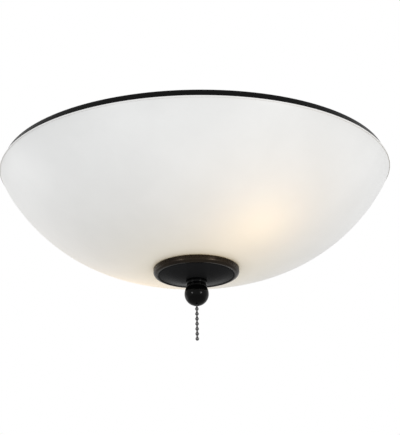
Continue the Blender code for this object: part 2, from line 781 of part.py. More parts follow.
def make_bowl():
    """Opal bowl with a ground rim and a hole for the stem."""
    outer = bowl_outline(GLASS_OUTSIDE_STEPS)
    inner = offset_path(bowl_outline(GLASS_INSIDE_STEPS), GLASS_WALL)
    inner[0] = (GLASS_RADIUS - GLASS_WALL, GLASS_RIM_Z)
    inner[-1] = (GLASS_HOLE_RADIUS, GLASS_SEAT_Z + GLASS_WALL)
    edge = [
        (inner[0][0], GLASS_RIM_Z - GLASS_EDGE_ROUND),
        (inner[0][0] + GLASS_EDGE_ROUND, GLASS_RIM_Z),
        (GLASS_RADIUS - GLASS_EDGE_ROUND, GLASS_RIM_Z),
        (GLASS_RADIUS, GLASS_RIM_Z - GLASS_EDGE_ROUND),
    ]
    loop = edge + outer[1:] + inner[:0:-1]
    turned("glass_bowl", loop, GLASS_SIDES, OPAL_GLASS, closed=True)
    flange_z = GLASS_SEAT_Z + GLASS_WALL + GAP
    foot_z = PLATE_BOTTOM_Z + PLATE_SHEET + GAP
    grommet = [
        (GROMMET_BORE_RADIUS, flange_z + GROMMET_FLANGE),
        (GROMMET_FLANGE_RADIUS, flange_z + GROMMET_FLANGE),
        (GROMMET_FLANGE_RADIUS, flange_z),
        (GLASS_HOLE_RADIUS - GAP, flange_z),
        (GLASS_HOLE_RADIUS - GAP, foot_z),
        (GROMMET_BORE_RADIUS, foot_z),
    ]
    turned("bowl_grommet", grommet, RING_SIDES, RUBBER, closed=True)
    washer_top = GLASS_SEAT_Z - GAP
    washer = [
        (GLASS_HOLE_RADIUS, washer_top),
        (WASHER_RADIUS, washer_top),
        (WASHER_RADIUS, washer_top - WASHER_THICKNESS),
        (GLASS_HOLE_RADIUS, washer_top - WASHER_THICKNESS),
    ]
    turned("bowl_washer", washer, RING_SIDES, FIBRE, closed=True)


def make_finial_plate():
    """Spun plate: a rolled outer ring, a step down and a shallow cone to its middle."""
    ring_z = PLATE_TOP_Z - PLATE_STEP_DEPTH
    crown_z = ring_z + (PLATE_BOTTOM_Z - ring_z) * PLATE_CROWN_SHARE
    path = rounded(
        [
            (PLATE_RADIUS - PLATE_SHEET / 2, PLATE_TOP_Z, 0),
            (PLATE_RADIUS, PLATE_TOP_Z - PLATE_SHEET / 2, 0),
            (PLATE_RADIUS, PLATE_TOP_Z - PLATE_RIM_HEIGHT, PLATE_RIM_ROUND),
            (PLATE_STEP_RADIUS, ring_z, 0),
            (PLATE_STEP_RADIUS - PLATE_STEP_DROP / 2, ring_z - PLATE_STEP_DROP, 0),
            ((PLATE_STEP_RADIUS + PLATE_FLAT_RADIUS) / 2, crown_z, 0),
            (PLATE_FLAT_RADIUS, PLATE_BOTTOM_Z, 0),
            (PLATE_HOLE_RADIUS, PLATE_BOTTOM_Z, 0),
        ],
        BEND_STEPS,
    )
    turned("finial_plate", wall_loop(path, PLATE_SHEET), PLATE_SIDES, BLACK_BRONZE, closed=True)


def make_finial():
    """Ball with a collar, threaded for the stem above and open for the chain below."""
    collar_foot = FINIAL_TOP_Z - COLLAR_HEIGHT
    neck_deg = math.degrees(math.acos(COLLAR_GROOVE_RADIUS / BALL_RADIUS))
    mouth_deg = math.degrees(math.acos((FINIAL_MOUTH_RADIUS + FINIAL_MOUTH_FLARE) / BALL_RADIUS))
    ball = arc((0, 0), BALL_RADIUS, neck_deg, -mouth_deg, BALL_STEPS)
    mouth_z = ball[-1][1]
    thread_foot = STEM_FOOT_Z - GAP
    profile = [
        (FINIAL_THREAD_RADIUS, FINIAL_TOP_Z),
        (COLLAR_RADIUS - GAP, FINIAL_TOP_Z),
        (COLLAR_RADIUS, FINIAL_TOP_Z - GAP),
        (COLLAR_RADIUS, collar_foot),
        (COLLAR_GROOVE_RADIUS, collar_foot - GAP),
    ]
    profile += [(radius, BALL_CENTRE_Z + z) for radius, z in ball]
    profile += [
        (FINIAL_MOUTH_RADIUS, BALL_CENTRE_Z + mouth_z + FINIAL_MOUTH_FLARE),
        (FINIAL_MOUTH_RADIUS, thread_foot),
        (FINIAL_THREAD_RADIUS, thread_foot),
    ]
    turned("finial_ball", profile, BALL_SIDES, BLACK_STEEL, closed=True)


def make_lampholder(number, axis):
    """Porcelain lampholder on a leg of the strap, with its screw shell and contact."""
    mouth = HOLDER_BACK + HOLDER_LENGTH
    floor = HOLDER_BACK + HOLDER_FLOOR
    shoulder = HOLDER_BACK + HOLDER_BACK_LENGTH
    screw_hole = HOLDER_BACK + HOLDER_SCREW_LENGTH
    body = [
        (0, floor),
        (HOLDER_BORE_RADIUS, floor),
        (HOLDER_BORE_RADIUS, mouth),
        (HOLDER_MOUTH_RADIUS - HOLDER_EDGE, mouth),
        (HOLDER_MOUTH_RADIUS, mouth - HOLDER_EDGE),
        (HOLDER_MOUTH_RADIUS, shoulder + HOLDER_SHOULDER),
        (HOLDER_BACK_RADIUS, shoulder),
        (HOLDER_BACK_RADIUS, HOLDER_BACK + HOLDER_EDGE),
        (HOLDER_BACK_RADIUS - HOLDER_EDGE, HOLDER_BACK),
        (HOLDER_SCREW_RADIUS + GAP, HOLDER_BACK),
        (HOLDER_SCREW_RADIUS + GAP, screw_hole),
        (0, screw_hole),
    ]
    holder = turned(f"lampholder_{number}", body, HOLDER_SIDES, PORCELAIN, parent=axis)
    surface = math.sqrt(HOLDER_BACK_RADIUS**2 - LEAD_EXIT_ACROSS**2)
    tools = []
    for side in (1, -1):
        tools.append(
            prism(
                f"lampholder {number} lead hole {side}",
                HOLE_SIDES,
                LEAD_HOLE_RADIUS,
                surface - LEAD_HOLE_DEPTH,
                HOLDER_MOUTH_RADIUS + CUT_OVERRUN,
                location=(0, side * LEAD_EXIT_ACROSS, HOLDER_BACK + LEAD_EXIT_ALONG),
                rotation=(0, -math.pi / 2, 0),
                parent=axis,
            )
        )
    cut(holder, *tools)
    shell_radius = HOLDER_BORE_RADIUS - GAP
    shell_floor = floor + GAP
    shell = [
        (shell_radius, shell_floor + SHELL_LENGTH),
        (shell_radius, shell_floor),
        (shell_radius - SHELL_FLANGE, shell_floor),
        (shell_radius - SHELL_FLANGE, shell_floor + SHELL_WALL),
        (shell_radius - SHELL_WALL, shell_floor + SHELL_WALL),
        (shell_radius - SHELL_WALL, shell_floor + SHELL_LENGTH),
    ]
    turned(f"screw_shell_{number}", shell, HOLDER_SIDES, BRASS, closed=True, parent=axis)
    half = CONTACT_LENGTH / 2
    base = floor + GAP + CONTACT_SHEET
    tongue = rounded(
        [
            (-half, base, 0),
            (-half * CONTACT_BEND_SHARE, base, CONTACT_SHEET),
            (half * CONTACT_BEND_SHARE, base + CONTACT_RISE, CONTACT_SHEET),
            (half * CONTACT_END_SHARE, base + CONTACT_RISE, 0),
        ],
        BEND_STEPS,
    )
    strip(
        f"socket_contact_{number}", tongue, CONTACT_WIDTH, CONTACT_SHEET, BRASS, parent=axis
    )
    make_screw(
        f"lampholder_screw_{number}",
        (
            HOLDER_SCREW_HEAD_RADIUS,
            HOLDER_SCREW_HEAD,
            HOLDER_SCREW_RADIUS,
            STRAP_SHEET + HOLDER_SCREW_LENGTH,
        ),
        ZINC_STEEL,
        location=(0, 0, STRAP_LEG_INSIDE - GAP),
        parent=axis,
    )


def make_bulb(number, axis):
    """Screw-base bulb, from its tip contact outwards to its round globe."""
    insulator = BULB_TIP + BULB_TIP_HEIGHT + GAP
    base = insulator + BULB_INSULATOR_HEIGHT + GAP
    housing = base + BULB_BASE_LENGTH
    globe_centre = BULB_TIP + BULB_LENGTH - BULB_GLOBE_RADIUS
    globe = globe_centre - BULB_GLOBE_RADIUS * BULB_GLOBE_FOOT_SHARE
    flare_foot = housing + BULB_NECK_LENGTH
    flare_length = globe - GAP - flare_foot
    neck = BULB_BASE_RADIUS - BULB_BASE_WALL - GAP
    tip = [
        (BULB_TIP_RADIUS * out, BULB_TIP + BULB_TIP_HEIGHT * along) for out, along in BULB_TIP_SHARES
    ]
    tip = [(0, tip[0][1])] + tip + [(0, tip[-1][1])]
    turned(f"bulb_{number}_tip", tip, HOLE_SIDES, BRASS, parent=axis)
    cone = [
        (0, insulator + BULB_INSULATOR_HEIGHT),
        (BULB_INSULATOR_RADIUS, insulator + BULB_INSULATOR_HEIGHT),
        (BULB_INSULATOR_RADIUS * BULB_INSULATOR_NOSE_SHARE, insulator),
        (0, insulator),
    ]
    turned(f"bulb_{number}_insulator", cone, RING_SIDES, BLACK_PLASTIC, parent=axis)
    shell = [
        (neck + GAP, housing - GAP),
        (BULB_BASE_RADIUS, housing - GAP),
        (BULB_BASE_RADIUS, base + BULB_BASE_WALL * 2),
        (BULB_BASE_RADIUS - BULB_BASE_WALL * 2, base),
        (neck - BULB_BASE_WALL * 2, base),
        (neck - BULB_BASE_WALL * 2, base + BULB_BASE_WALL),
        (neck + GAP, base + BULB_BASE_WALL * 3),
    ]
    turned(f"bulb_{number}_base", shell, BULB_SIDES, BRASS, closed=True, parent=axis)
    flare = BULB_HOUSING_RADIUS - BULB_BASE_RADIUS
    sides = [
        (BULB_BASE_RADIUS + flare * out, flare_foot + flare_length * along)
        for out, along in BULB_FLARE_SHARES
    ]
    body = [(0, sides[0][1])] + sides + [
        (BULB_BASE_RADIUS, housing),
        (neck, housing),
        (neck, base + BULB_BASE_WALL * 4),
        (0, base + BULB_BASE_WALL * 4),
    ]
    turned(f"bulb_{number}_housing", body, BULB_SIDES, WHITE_PLASTIC, parent=axis)
    start_deg = 90
    end_deg = math.degrees(math.asin((globe - globe_centre) / BULB_GLOBE_RADIUS))
    outer = arc((0, globe_centre), BULB_GLOBE_RADIUS, start_deg, end_deg, GLOBE_OUTSIDE_STEPS)
    outer[0] = (0, outer[0][1])
    radius_inside = BULB_GLOBE_RADIUS - BULB_GLOBE_WALL
    inside_deg = math.degrees(math.asin((globe - globe_centre) / radius_inside))
    inner = arc((0, globe_centre), radius_inside, inside_deg, start_deg, GLOBE_INSIDE_STEPS)
    inner[-1] = (0, inner[-1][1])
    turned(f"bulb_{number}_globe", outer + inner, BULB_SIDES, GLOBE, parent=axis)


def make_switch(lamp_frame):
    """Pull switch: the chain pulls a spring-loaded drum round inside an open box."""
    half = SWITCH_THICKNESS / 2
    low_side = SWITCH_OFFSET - SWITCH_WIDTH / 2
    high_side = SWITCH_OFFSET + SWITCH_WIDTH / 2
    wall = SWITCH_WALL
    housing = block(
        "switch_housing",
        (-half, low_side, SWITCH_Z),
        (half, high_side, SWITCH_TOP_Z),
        BLACK_PLASTIC,
        parent=lamp_frame,
    )
    cavity = block(
        "switch cavity",
        (wall - half, low_side + wall, SWITCH_Z + wall),
        (half - wall, high_side - wall, SWITCH_TOP_Z + CUT_OVERRUN),
        parent=lamp_frame,
    )
    chain_hole = hole(
        "switch chain hole", NIPPLE_BORE_RADIUS, SWITCH_Z, SWITCH_Z + wall, parent=lamp_frame
    )
    pin_hole = hole(
        "switch pin hole",
        PIN_RADIUS + GAP,
        -half,
        half,
        location=(0, DRUM_CHAIN_RADIUS, DRUM_Z),
        rotation=(0, math.pi / 2, 0),
        parent=lamp_frame,
    )
    cut(housing, cavity, chain_hole, pin_hole)
    cover = block(
        "switch_cover",
        (-half, low_side, SWITCH_TOP_Z + GAP),
        (half, high_side, SWITCH_TOP_Z + GAP + SWITCH_COVER),
        FIBRE,
        parent=lamp_frame,
    )
    tools = []
    for side in (1, -1):
        tools.append(
            hole(
                f"switch lead hole {side}",
                LEAD_HOLE_RADIUS,
                SWITCH_TOP_Z + GAP,
                SWITCH_TOP_Z + GAP + SWITCH_COVER,
                location=(0, SWITCH_OFFSET + side * SWITCH_LEAD_SPACING, 0),
                parent=lamp_frame,
            )
        )
    cut(cover, *tools)
    nipple = [
        (NIPPLE_BORE_RADIUS, SWITCH_Z - GAP),
        (NIPPLE_NUT_RADIUS, SWITCH_Z - GAP),
        (NIPPLE_NUT_RADIUS, NIPPLE_NUT_Z),
        (NIPPLE_RADIUS, NIPPLE_NUT_Z),
        (NIPPLE_RADIUS, SWITCH_Z - NIPPLE_LENGTH),
        (NIPPLE_BORE_RADIUS, SWITCH_Z - NIPPLE_LENGTH),
    ]
    turned("switch_nipple", nipple, RING_SIDES, BRASS, closed=True)
    axle = empty(
        "drum_axis",
        (0, DRUM_CHAIN_RADIUS, DRUM_Z),
        (0, math.pi / 2, 0),
        lamp_frame,
    )
    inside = DRUM_GROOVE / 2
    outside = inside + DRUM_FLANGE
    drum = [
        (PIN_RADIUS + GAP, outside),
        (DRUM_FLANGE_RADIUS, outside),
        (DRUM_FLANGE_RADIUS, inside),
        (DRUM_CORE_RADIUS, inside),
        (DRUM_CORE_RADIUS, -inside),
        (DRUM_FLANGE_RADIUS, -inside),
        (DRUM_FLANGE_RADIUS, -outside),
        (PIN_RADIUS + GAP, -outside),
    ]
    turned("switch_drum", drum, RING_SIDES, BRASS, closed=True, parent=axle)
    prism("switch_pin", HOLE_SIDES, PIN_RADIUS, -half, half, ZINC_STEEL, parent=axle)
    spring_from = outside + GAP + SPRING_WIRE_RADIUS
    spring_to = half - wall - GAP - SPRING_WIRE_RADIUS
    points = SPRING_TURNS * SPRING_POINTS_PER_TURN
    coil = []
    for index in range(points + 1):
        angle = math.tau * SPRING_TURNS * index / points
        along = index / points
        coil.append(
            (
                SPRING_RADIUS * math.cos(angle),
                SPRING_RADIUS * math.sin(angle),
                spring_from + (spring_to - spring_from) * along,
            )
        )
    tube("switch_spring", coil, SPRING_WIRE_RADIUS, ZINC_STEEL, parent=axle)
    blade_x = -outside - (half - wall - outside) / 2
    for index, side in enumerate((1, -1)):
        middle = SWITCH_OFFSET + side * SWITCH_BLADE_SPACING
        block(
            f"switch_blade_{index + 1}",
            (blade_x, middle - SWITCH_BLADE_WIDTH / 2, SWITCH_TOP_Z - SWITCH_BLADE_LENGTH),
            (blade_x + SWITCH_BLADE_SHEET, middle + SWITCH_BLADE_WIDTH / 2, SWITCH_TOP_Z),
            BRASS,
            parent=lamp_frame,
        )


def bead_profile(bead_heights, top, bottom, steps):
    """Profile of a string of beads joined by thin links, from its top end to its foot."""
    profile = [(0, top)]
    if top > bead_heights[0] + BEAD_RADIUS:
        profile.append((CHAIN_LINK_RADIUS, top))
    for height in bead_heights:
        for radius, z in arc((0, height), BEAD_RADIUS, BEAD_ARC_DEG, -BEAD_ARC_DEG, steps):
            profile.append((radius, z))
    if bottom < bead_heights[-1] - BEAD_RADIUS:
        profile.append((CHAIN_LINK_RADIUS, bottom))
    profile.append((0, bottom))
    return profile


def make_chain():
    """Bead chain in three lengths: the hidden one, one loose bead and the free tail."""
    hinge_1 = FIRST_BEAD_Z - BEAD_PITCH / 2
    hinge_2 = hinge_1 - LINK_BEADS * BEAD_PITCH
    gap = CHAIN_HINGE_GAP / 2
    hidden = [FIRST_BEAD_Z + BEAD_PITCH * index for index in range(HIDDEN_BEADS, -1, -1)]
    turned(
        "chain_hidden",
        bead_profile(hidden, hidden[0] + BEAD_RADIUS, hinge_1 + gap, HIDDEN_BEAD_STEPS),
        HIDDEN_BEAD_SIDES,
        CHAIN_METAL,
    )
    pieces = (
        ("chain_link", LINK_BEADS, hinge_1, hinge_2, True),
        ("chain_tail", TAIL_BEADS, hinge_2, hinge_2 - TAIL_BEADS * BEAD_PITCH, False),
    )
    for name, count, top, foot, linked in pieces:
        beads = [-BEAD_PITCH * (index + 0.5) for index in range(count)]
        bottom = foot - top + gap if linked else beads[-1] - BEAD_RADIUS
        turned(
            name,
            bead_profile(beads, -gap, bottom, BEAD_STEPS),
            BEAD_SIDES,
            CHAIN_METAL,
            location=(0, 0, top),
        )


def make_connector(name, at, material, lamp_frame):
    """Twist-on connector, its mouth facing down. Gives the height of its bore's end."""
    top = CONNECTOR_TOP_Z
    foot = top - CONNECTOR_LENGTH
    wall = CONNECTOR_WALL
    bore_end = top - wall * 3
    profile = [
        (0, top),
        (CONNECTOR_TIP_RADIUS - wall / 2, top),
        (CONNECTOR_TIP_RADIUS, top - wall),
        (CONNECTOR_MOUTH_RADIUS, foot),
        (CONNECTOR_MOUTH_RADIUS - wall, foot),
        (CONNECTOR_TIP_RADIUS - wall, bore_end),
        (0, bore_end),
    ]
    turned(name, profile, HOLE_SIDES, material, location=(*at, 0), parent=lamp_frame)
    return bore_end


def make_leads(lamp_frame):
    """Leads from lampholders and switch up to the connectors inside the hub."""
    ends = {
        "neutral_connector": CONNECTOR_ACROSS,
        "load_connector": -CONNECTOR_ACROSS,
        "line_connector": LINE_CONNECTOR_ACROSS,
    }
    bore_end = 0
    for name, across in ends.items():
        bore_end = make_connector(name, (0, across), ORANGE_PLASTIC, lamp_frame)
    mouth_z = CONNECTOR_TOP_Z - CONNECTOR_LENGTH
    surface = math.sqrt(HOLDER_BACK_RADIUS**2 - LEAD_EXIT_ACROSS**2)
    holder_along = HOLDER_BACK + LEAD_EXIT_ALONG
    holder_z = LAMP_Z + surface - LEAD_HOLE_DEPTH + GAP
    cover_z = SWITCH_TOP_Z + GAP
    near = SWITCH_OFFSET - SWITCH_LEAD_SPACING
    far = SWITCH_OFFSET + SWITCH_LEAD_SPACING
    routes = [
        ("white_lead_1", (holder_along, LEAD_EXIT_ACROSS, holder_z), "neutral_connector", 0),
        ("white_lead_2", (-holder_along, LEAD_EXIT_ACROSS, holder_z), "neutral_connector", 180),
        ("black_lead_1", (holder_along, -LEAD_EXIT_ACROSS, holder_z), "load_connector", -30),
        ("black_lead_2", (-holder_along, -LEAD_EXIT_ACROSS, holder_z), "load_connector", 210),
        ("switch_load_lead", (0, near, cover_z), "load_connector", 90),
        ("switch_line_lead", (0, far, cover_z), "line_connector", 90),
    ]
    rise = (0, 0, LEAD_RISE)
    for name, start, connector, bundle_deg in routes:
        bundle = math.radians(bundle_deg)
        along = LEAD_BUNDLE_RADIUS * math.cos(bundle)
        across = ends[connector] + LEAD_BUNDLE_RADIUS * math.sin(bundle)
        points = smooth_between(start, rise, (along, across, mouth_z), rise, LEAD_POINTS)
        points.append(Vector((along, across, bore_end - GAP)))
        material = WHITE_WIRE if name.startswith("white") else BLACK_WIRE
        tube(name, points, LEAD_RADIUS, material, parent=lamp_frame)


def main():
    lamp_frame = empty("lamp_frame", (0, 0, 0), (0, 0, LAMP_AZIMUTH))
    make_fitter_pan(lamp_frame)
    make_strap(lamp_frame)
    make_strap_fasteners(lamp_frame)
    make_stem()
    make_bowl()
    make_finial_plate()
    make_finial()
    for number in (1, 2):
        facing = math.pi * (number - 1)
        axis = empty(
            f"lamp_axis_{number}", (0, 0, LAMP_Z), (0, math.pi / 2, facing), lamp_frame
        )
        make_lampholder(number, axis)
        make_bulb(number, axis)
    make_switch(lamp_frame)
    make_chain()
    make_leads(lamp_frame)


main()
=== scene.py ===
"""Looks of the ceiling fan light kit: finer pieces, materials, light and camera.

Metres, +Z up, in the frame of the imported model. Each fine piece stands for the CAD node of
its name, and takes its place and main sizes from that node.
"""

import json
import math

import bmesh
import bpy
from mathutils import Matrix, Vector


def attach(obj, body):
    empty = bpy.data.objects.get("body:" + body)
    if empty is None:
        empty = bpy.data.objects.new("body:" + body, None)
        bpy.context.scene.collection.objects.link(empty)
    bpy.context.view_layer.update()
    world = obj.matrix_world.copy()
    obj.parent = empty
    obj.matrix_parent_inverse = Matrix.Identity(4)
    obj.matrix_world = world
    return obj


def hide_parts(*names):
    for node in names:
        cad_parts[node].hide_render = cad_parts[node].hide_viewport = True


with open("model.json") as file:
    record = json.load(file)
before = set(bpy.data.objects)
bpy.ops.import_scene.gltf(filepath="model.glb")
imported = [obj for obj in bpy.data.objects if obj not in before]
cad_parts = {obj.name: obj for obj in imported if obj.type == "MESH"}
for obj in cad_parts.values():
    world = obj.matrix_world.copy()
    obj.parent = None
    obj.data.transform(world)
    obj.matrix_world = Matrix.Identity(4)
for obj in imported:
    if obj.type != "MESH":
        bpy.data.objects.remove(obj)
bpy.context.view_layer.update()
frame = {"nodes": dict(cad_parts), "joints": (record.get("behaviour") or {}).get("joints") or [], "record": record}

NODES = frame["nodes"]
BODY_OF = {
    node: body for body, nodes in frame["record"]["behaviour"]["bodies"].items() for node in nodes
}
SLOT_OF = {item["node"]: item["material_slot"] for item in frame["record"]["subparts"]}
JOINTS = {joint["name"]: joint for joint in frame["joints"]}

UPRIGHT = Matrix.Identity(4)
TINY = 1e-6

# Edges bent by more than this stay sharp
NUT_SHARP_DEG, SHARP_DEG, SOFT_SHARP_DEG = 24, 32, 40
TURNED_SHARP_DEG, THREAD_SHARP_DEG = 50, 60

# Rounds and bevels that several pieces share
FILM, HAIR, SOFT, EDGE = 0.00005, 0.0001, 0.0002, 0.0003
STEP, HEM, ROUND, LIP, WIDE = 0.0004, 0.0005, 0.0006, 0.0007, 0.0008

# Bevels as width, segments and least angle
STRAP_BEVEL, HOLDER_BEVEL, CONTACT_BEVEL = (0.00025, 2, 50), (0.00015, 2, 45), (0.00012, 2, 30)

# How far a cutting tool goes past a surface
PAST = 0.002

# Threads: pitch and depth
STEM_PITCH, STEM_DEPTH = 0.0009407, 0.00055
LAMP_PITCH, LAMP_DEPTH, SHELL_DEPTH = 0.0036286, 0.00075, 0.00045
THREAD_FADE_SHARE = 0.75

# Screws as head height, head radius and shank radius, and shares of these
MOUNT_SCREW = (0.0026, 0.0042, 0.0020)
STRAP_SCREW = (0.0022, 0.0038, 0.0019)
LAMP_SCREW = (0.0020, 0.0034, 0.0019)
SCREW_PITCH_SHARE, SCREW_DEPTH_SHARE, SCREW_TIP_SHARE, SCREW_POINT_SHARE = 0.35, 0.2, 0.62, 0.2
SCREW_CROWN_SHARE, SCREW_FACE_SHARE = 0.55, 0.35
SCREW_SLOT_SHARE, SCREW_SLOT_DEPTH_SHARE = 0.12, 0.42

# Nuts
NUT_CHAMFER_SHARE, NUT_FACE_SHARE = 0.45, 0.985

# Fitter pan, and where its screws are
HUB_RADIUS, HUB_CORNER, HUB_FOOT_CORNER = 0.056, 0.004, 0.003
PAN_FLAT_Z, PAN_SHEET = -0.0266, 0.001
PAN_SHOULDER_IN, PAN_SHOULDER = 0.0021, 0.0013
WIRE_HOLE = 0.0105
MOUNT_CIRCLE, MOUNT_COUNT, MOUNT_HOLE = 0.040, 3, 0.0026
STRAP_SCREW_X, GROUND_SCREW_X, SCREW_HOLE = 0.067, -0.048, 0.0024
BUSHING_NECK, BUSHING_LIP = 0.0102, 0.001

# Glass, a turned superellipse, and what lies at its hole
GLASS_DEPTH, GLASS_WALL, GLASS_EDGE, GLASS_SEAT_RADIUS = 0.0926, 0.0035, 0.0016, 0.018
RADIAL_POWER, DEPTH_POWER = 2.71, 1.218
GROMMET_NECK, GROMMET_FLANGE = 0.0067, 0.002

# Finial plate: ring as (radius, depth, bend), dome as (radius, depth), flat round its hole
PLATE_SHEET, PLATE_RIM_DEPTH, PLATE_RIM_ROUND = 0.0011, 0.0063, 0.0029
PLATE_RING = ((0.0331, 0.0062, 0.0014), (0.0327, 0.0052, 0.0003), (0.0322, 0.0062, 0))
PLATE_DOME = ((0.0322, 0.0061), (0.0270, 0.0073), (0.0210, 0.0088), (0.0150, 0.0101))
PLATE_FLAT_FROM, PLATE_FLAT_AT = 0.0105, 0.0085

# Finial: a collar over a ball
COLLAR, COLLAR_HEIGHT, FINIAL_NECK = 0.0092, 0.0032, 0.0086
FINIAL_MOUTH, FINIAL_THREAD, FINIAL_THREAD_DEPTH = 0.0020, 0.0055, 0.0044

# Ball chain. The caps at its ends start and stop short of the pole and of the neck
BEAD, LINK, BEAD_PITCH = 0.00160, 0.00082, 0.00452
HIDDEN_BEADS, TAIL_BEADS = 22, 5
TOP_CAP_DEG, FOOT_CAP_DEG = (82, 5), (84, 6)

# Stem, lock washer and strap
STEM_TIP = 0.0005
TEETH, TOOTH_DEPTH, TEETH_FROM_SHARE = 12, 0.0012, 0.8
STRAP_SHEET, STRAP_BEND, STRAP_INSIDE = 0.0015, 0.0022, 0.0135
STRAP_REACH, STRAP_WIDTH, STRAP_STEM_HOLE = 0.076, 0.026, 0.0054

# Lampholders, and the holes for their leads
HOLDER_BORE, HOLDER_FLOOR, HOLDER_EDGE = 0.0144, 0.008, 0.0015
HOLDER_RADIUS, HOLDER_MOUTH = 0.0170, 0.0190
HOLDER_STEP_UP, HOLDER_STEP_LOW, HOLDER_STEP_BENDS = 0.0155, 0.0125, (0.003, 0.002)
HOLDER_SCREW_HOLE, HOLDER_SCREW_DEPTH = 0.0022, 0.0055
TERMINAL_Y, TERMINAL_UP, TERMINAL_HOLE, TERMINAL_DEPTH = 0.0090, 0.0060, 0.0015, 0.0025
TERMINAL_FLOOR = math.sqrt(HOLDER_RADIUS**2 - TERMINAL_Y**2) - TERMINAL_DEPTH
SHELL_WALL, SHELL_FLANGE = 0.0005, 0.004
SHELL_FADE_SHARE, SHELL_THREAD_LOW = 0.4, 0.0014

# Bulbs
TIP_RADIUS, TIP_CROWN = 0.0036, ((0, 0), (0.0016, 0.0001), (0.0029, 0.0004))
INSULATOR_TIP, INSULATOR_RADIUS, INSULATOR_TOP = 0.0050, 0.0100, 0.0098
BASE_WALL, BASE_THREAD_LOW, BASE_THREAD_HIGH = 0.0008, 0.0026, 0.0030
BASE_COLLAR = ((0, 0), (0, 0.0012), (0.0004, 0.0016))
BASE_FOOT = ((0.0006, 0.0014), (0.0016, 0), (0.0036, 0), (0.0036, 0.0007), (0.0016, 0.0024))
HOUSING_FLARE = ((0.0030, 0.30), (0.0052, 0.62))
HOUSING_FIRST, HOUSING_WIDE_SHARE = (0.0006, 0.0026), 0.92
GLOBE_WALL = 0.0012

# Pull switch
SWITCH_SOFTENED = {"housing": 0.0005, "cover": 0.0003, "blade_1": 0.0001, "blade_2": 0.0001}
NIPPLE_NECK, NIPPLE_COLLAR = 0.0047, 0.0026
DRUM_CORE, DRUM_INSIDE = 0.0040, 0.0022
SPRING_WIRE, SPRING_TURNS, SPRING_STEPS = 0.0003, 2, 96

# Wiring: the connectors' places across, their shape, and the leads' ways
CONNECTORS = {"neutral_connector": 0.034, "load_connector": -0.034, "line_connector": 0.0185}
CONNECTOR_TIP, CONNECTOR_TIP_IN = 0.0046, 0.0012
CONNECTOR_WALL, CONNECTOR_CROWN = 0.0011, 0.0010
GRIP_STEPS, GRIP_TOP, GRIP_SHORTER, GRIP_SHARE = 18, 0.0014, 0.0052, 0.8
GRIP_FADE_IN, GRIP_FADE_OUT, GRIP_LEAST = 8, 6, 0.001
FLUTES, FLUTE_DEPTH = 16, 0.0005
SKIRT_HIGH, SKIRT_LOW = 0.0032, 0.0028
LEAD, LEAD_BUNDLE, LEAD_STRAIGHT, LEAD_STEPS = 0.0011, 0.0019, 0.016, 40
SWITCH_LOAD_Y, SWITCH_LINE_Y = -0.0050, 0.0110

# Bronze: radii between which it turns brown, how far they stray, tones and marks of turning
WORN_BETWEEN, WORN_STRAY, TURNING_MARKS = (0.0328, 0.0345), 0.0015, 9000.0
BRONZE_TONES = (
    (0.0, (0.0128, 0.0128, 0.0134)),
    (0.45, (0.016, 0.0130, 0.0112)),
    (1.0, (0.031, 0.0235, 0.0165)),
)

# Opal glass: tones, reach of the painted warm light in its middle and of the painted shade at its
# rim, and the glow painted on it as emission from the globes and from light scattered round its
# middle. A glow has the tone GLOW_TONE at the distance whose square is its power
GLASS_TONE_LOW, GLASS_TONE_HIGH = (0.762, 0.782, 0.798), (0.794, 0.814, 0.830)
GLASS_WARM_LIGHT_TONE = (0.835, 0.785, 0.690)
WARM_LIGHT_REACH, RIM_REACH, RIM_SHADE = 0.065, 0.010, 0.12
GLOW_TONE, SCATTER_GLOW_TONE = (0.285, 0.181, 0.062), (0.048, 0.048, 0.024)
GLOW_INSET, GLOW_RAISE = 0.0107, 0.005
GLOW_POWERS = {1: 0.05**2, 2: 0.05**2 * 1.12}

# Room: floor, world light, and lamps as name, place, size and power
FLOOR_SIZE, FLOOR_Z = 11.25, -4.5
WORLD_LIGHT, LIGHTS_AIM = 0.731, Vector((0, 0, -0.08))
LIGHTS = (
    ("light_left", (-1.1, -1.2, -0.15), 0.22, 5.0),
    ("light_right", (1.1, -1.2, -0.15), 0.22, 7.0),
    ("light_back_left", (-1.4, 0.8, -0.4), 0.7, 1.5),
    ("light_back_right", (1.4, 0.8, -0.4), 0.7, 0.6),
)

# Camera
PIXELS_HIGH, FOCAL_PIXELS, SENSOR = 435, 2490, 36.0
LOOK_UP_DEG, ROLL_DEG, CAMERA_AWAY = 21.4, -0.85, 2.195
AIM_RIGHT, AIM_UP = 0.0039, -0.0406


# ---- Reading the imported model


def points_of(node, place=UPRIGHT):
    back = place.inverted()
    return [back @ vertex.co for vertex in NODES[node].data.vertices]


def extent(node, place=UPRIGHT):
    """Lowest and highest z of a node in a frame, then its least and largest distance from z."""
    points = points_of(node, place)
    along, out = [point.z for point in points], [math.hypot(point.x, point.y) for point in points]
    return min(along), max(along), min(out), max(out)


def heights(node, place=UPRIGHT):
    return extent(node, place)[:2]


def at(x, y, z=0.0):
    return Matrix.Translation((x, y, z))


def lamp_frame():
    """The frame whose x runs along lamp 1."""
    axis = Vector(JOINTS["bulb_1_spin"]["axis"])
    return Matrix.Rotation(math.atan2(axis.y, axis.x), 4, "Z")


LAMPS = lamp_frame()
LAMP_Z = JOINTS["bulb_1_spin"]["pos_m"][2]
RIM_Z = heights("glass_bowl")[1]
MOUNT_TURNS = [math.tau * index / MOUNT_COUNT for index in range(MOUNT_COUNT)]
MOUNT_SPOTS = [
    LAMPS @ at(MOUNT_CIRCLE * math.cos(turn), MOUNT_CIRCLE * math.sin(turn)) for turn in MOUNT_TURNS
]
STRAP_SPOTS = [LAMPS @ at(side * STRAP_SCREW_X, 0) for side in (1, -1)]


def lamp_axis(number):
    """The frame whose z runs out along a lamp."""
    facing = Matrix.Rotation(math.pi * (number - 1), 4, "Z")
    return LAMPS @ at(0, 0, LAMP_Z) @ facing @ Matrix.Rotation(math.pi / 2, 4, "Y")


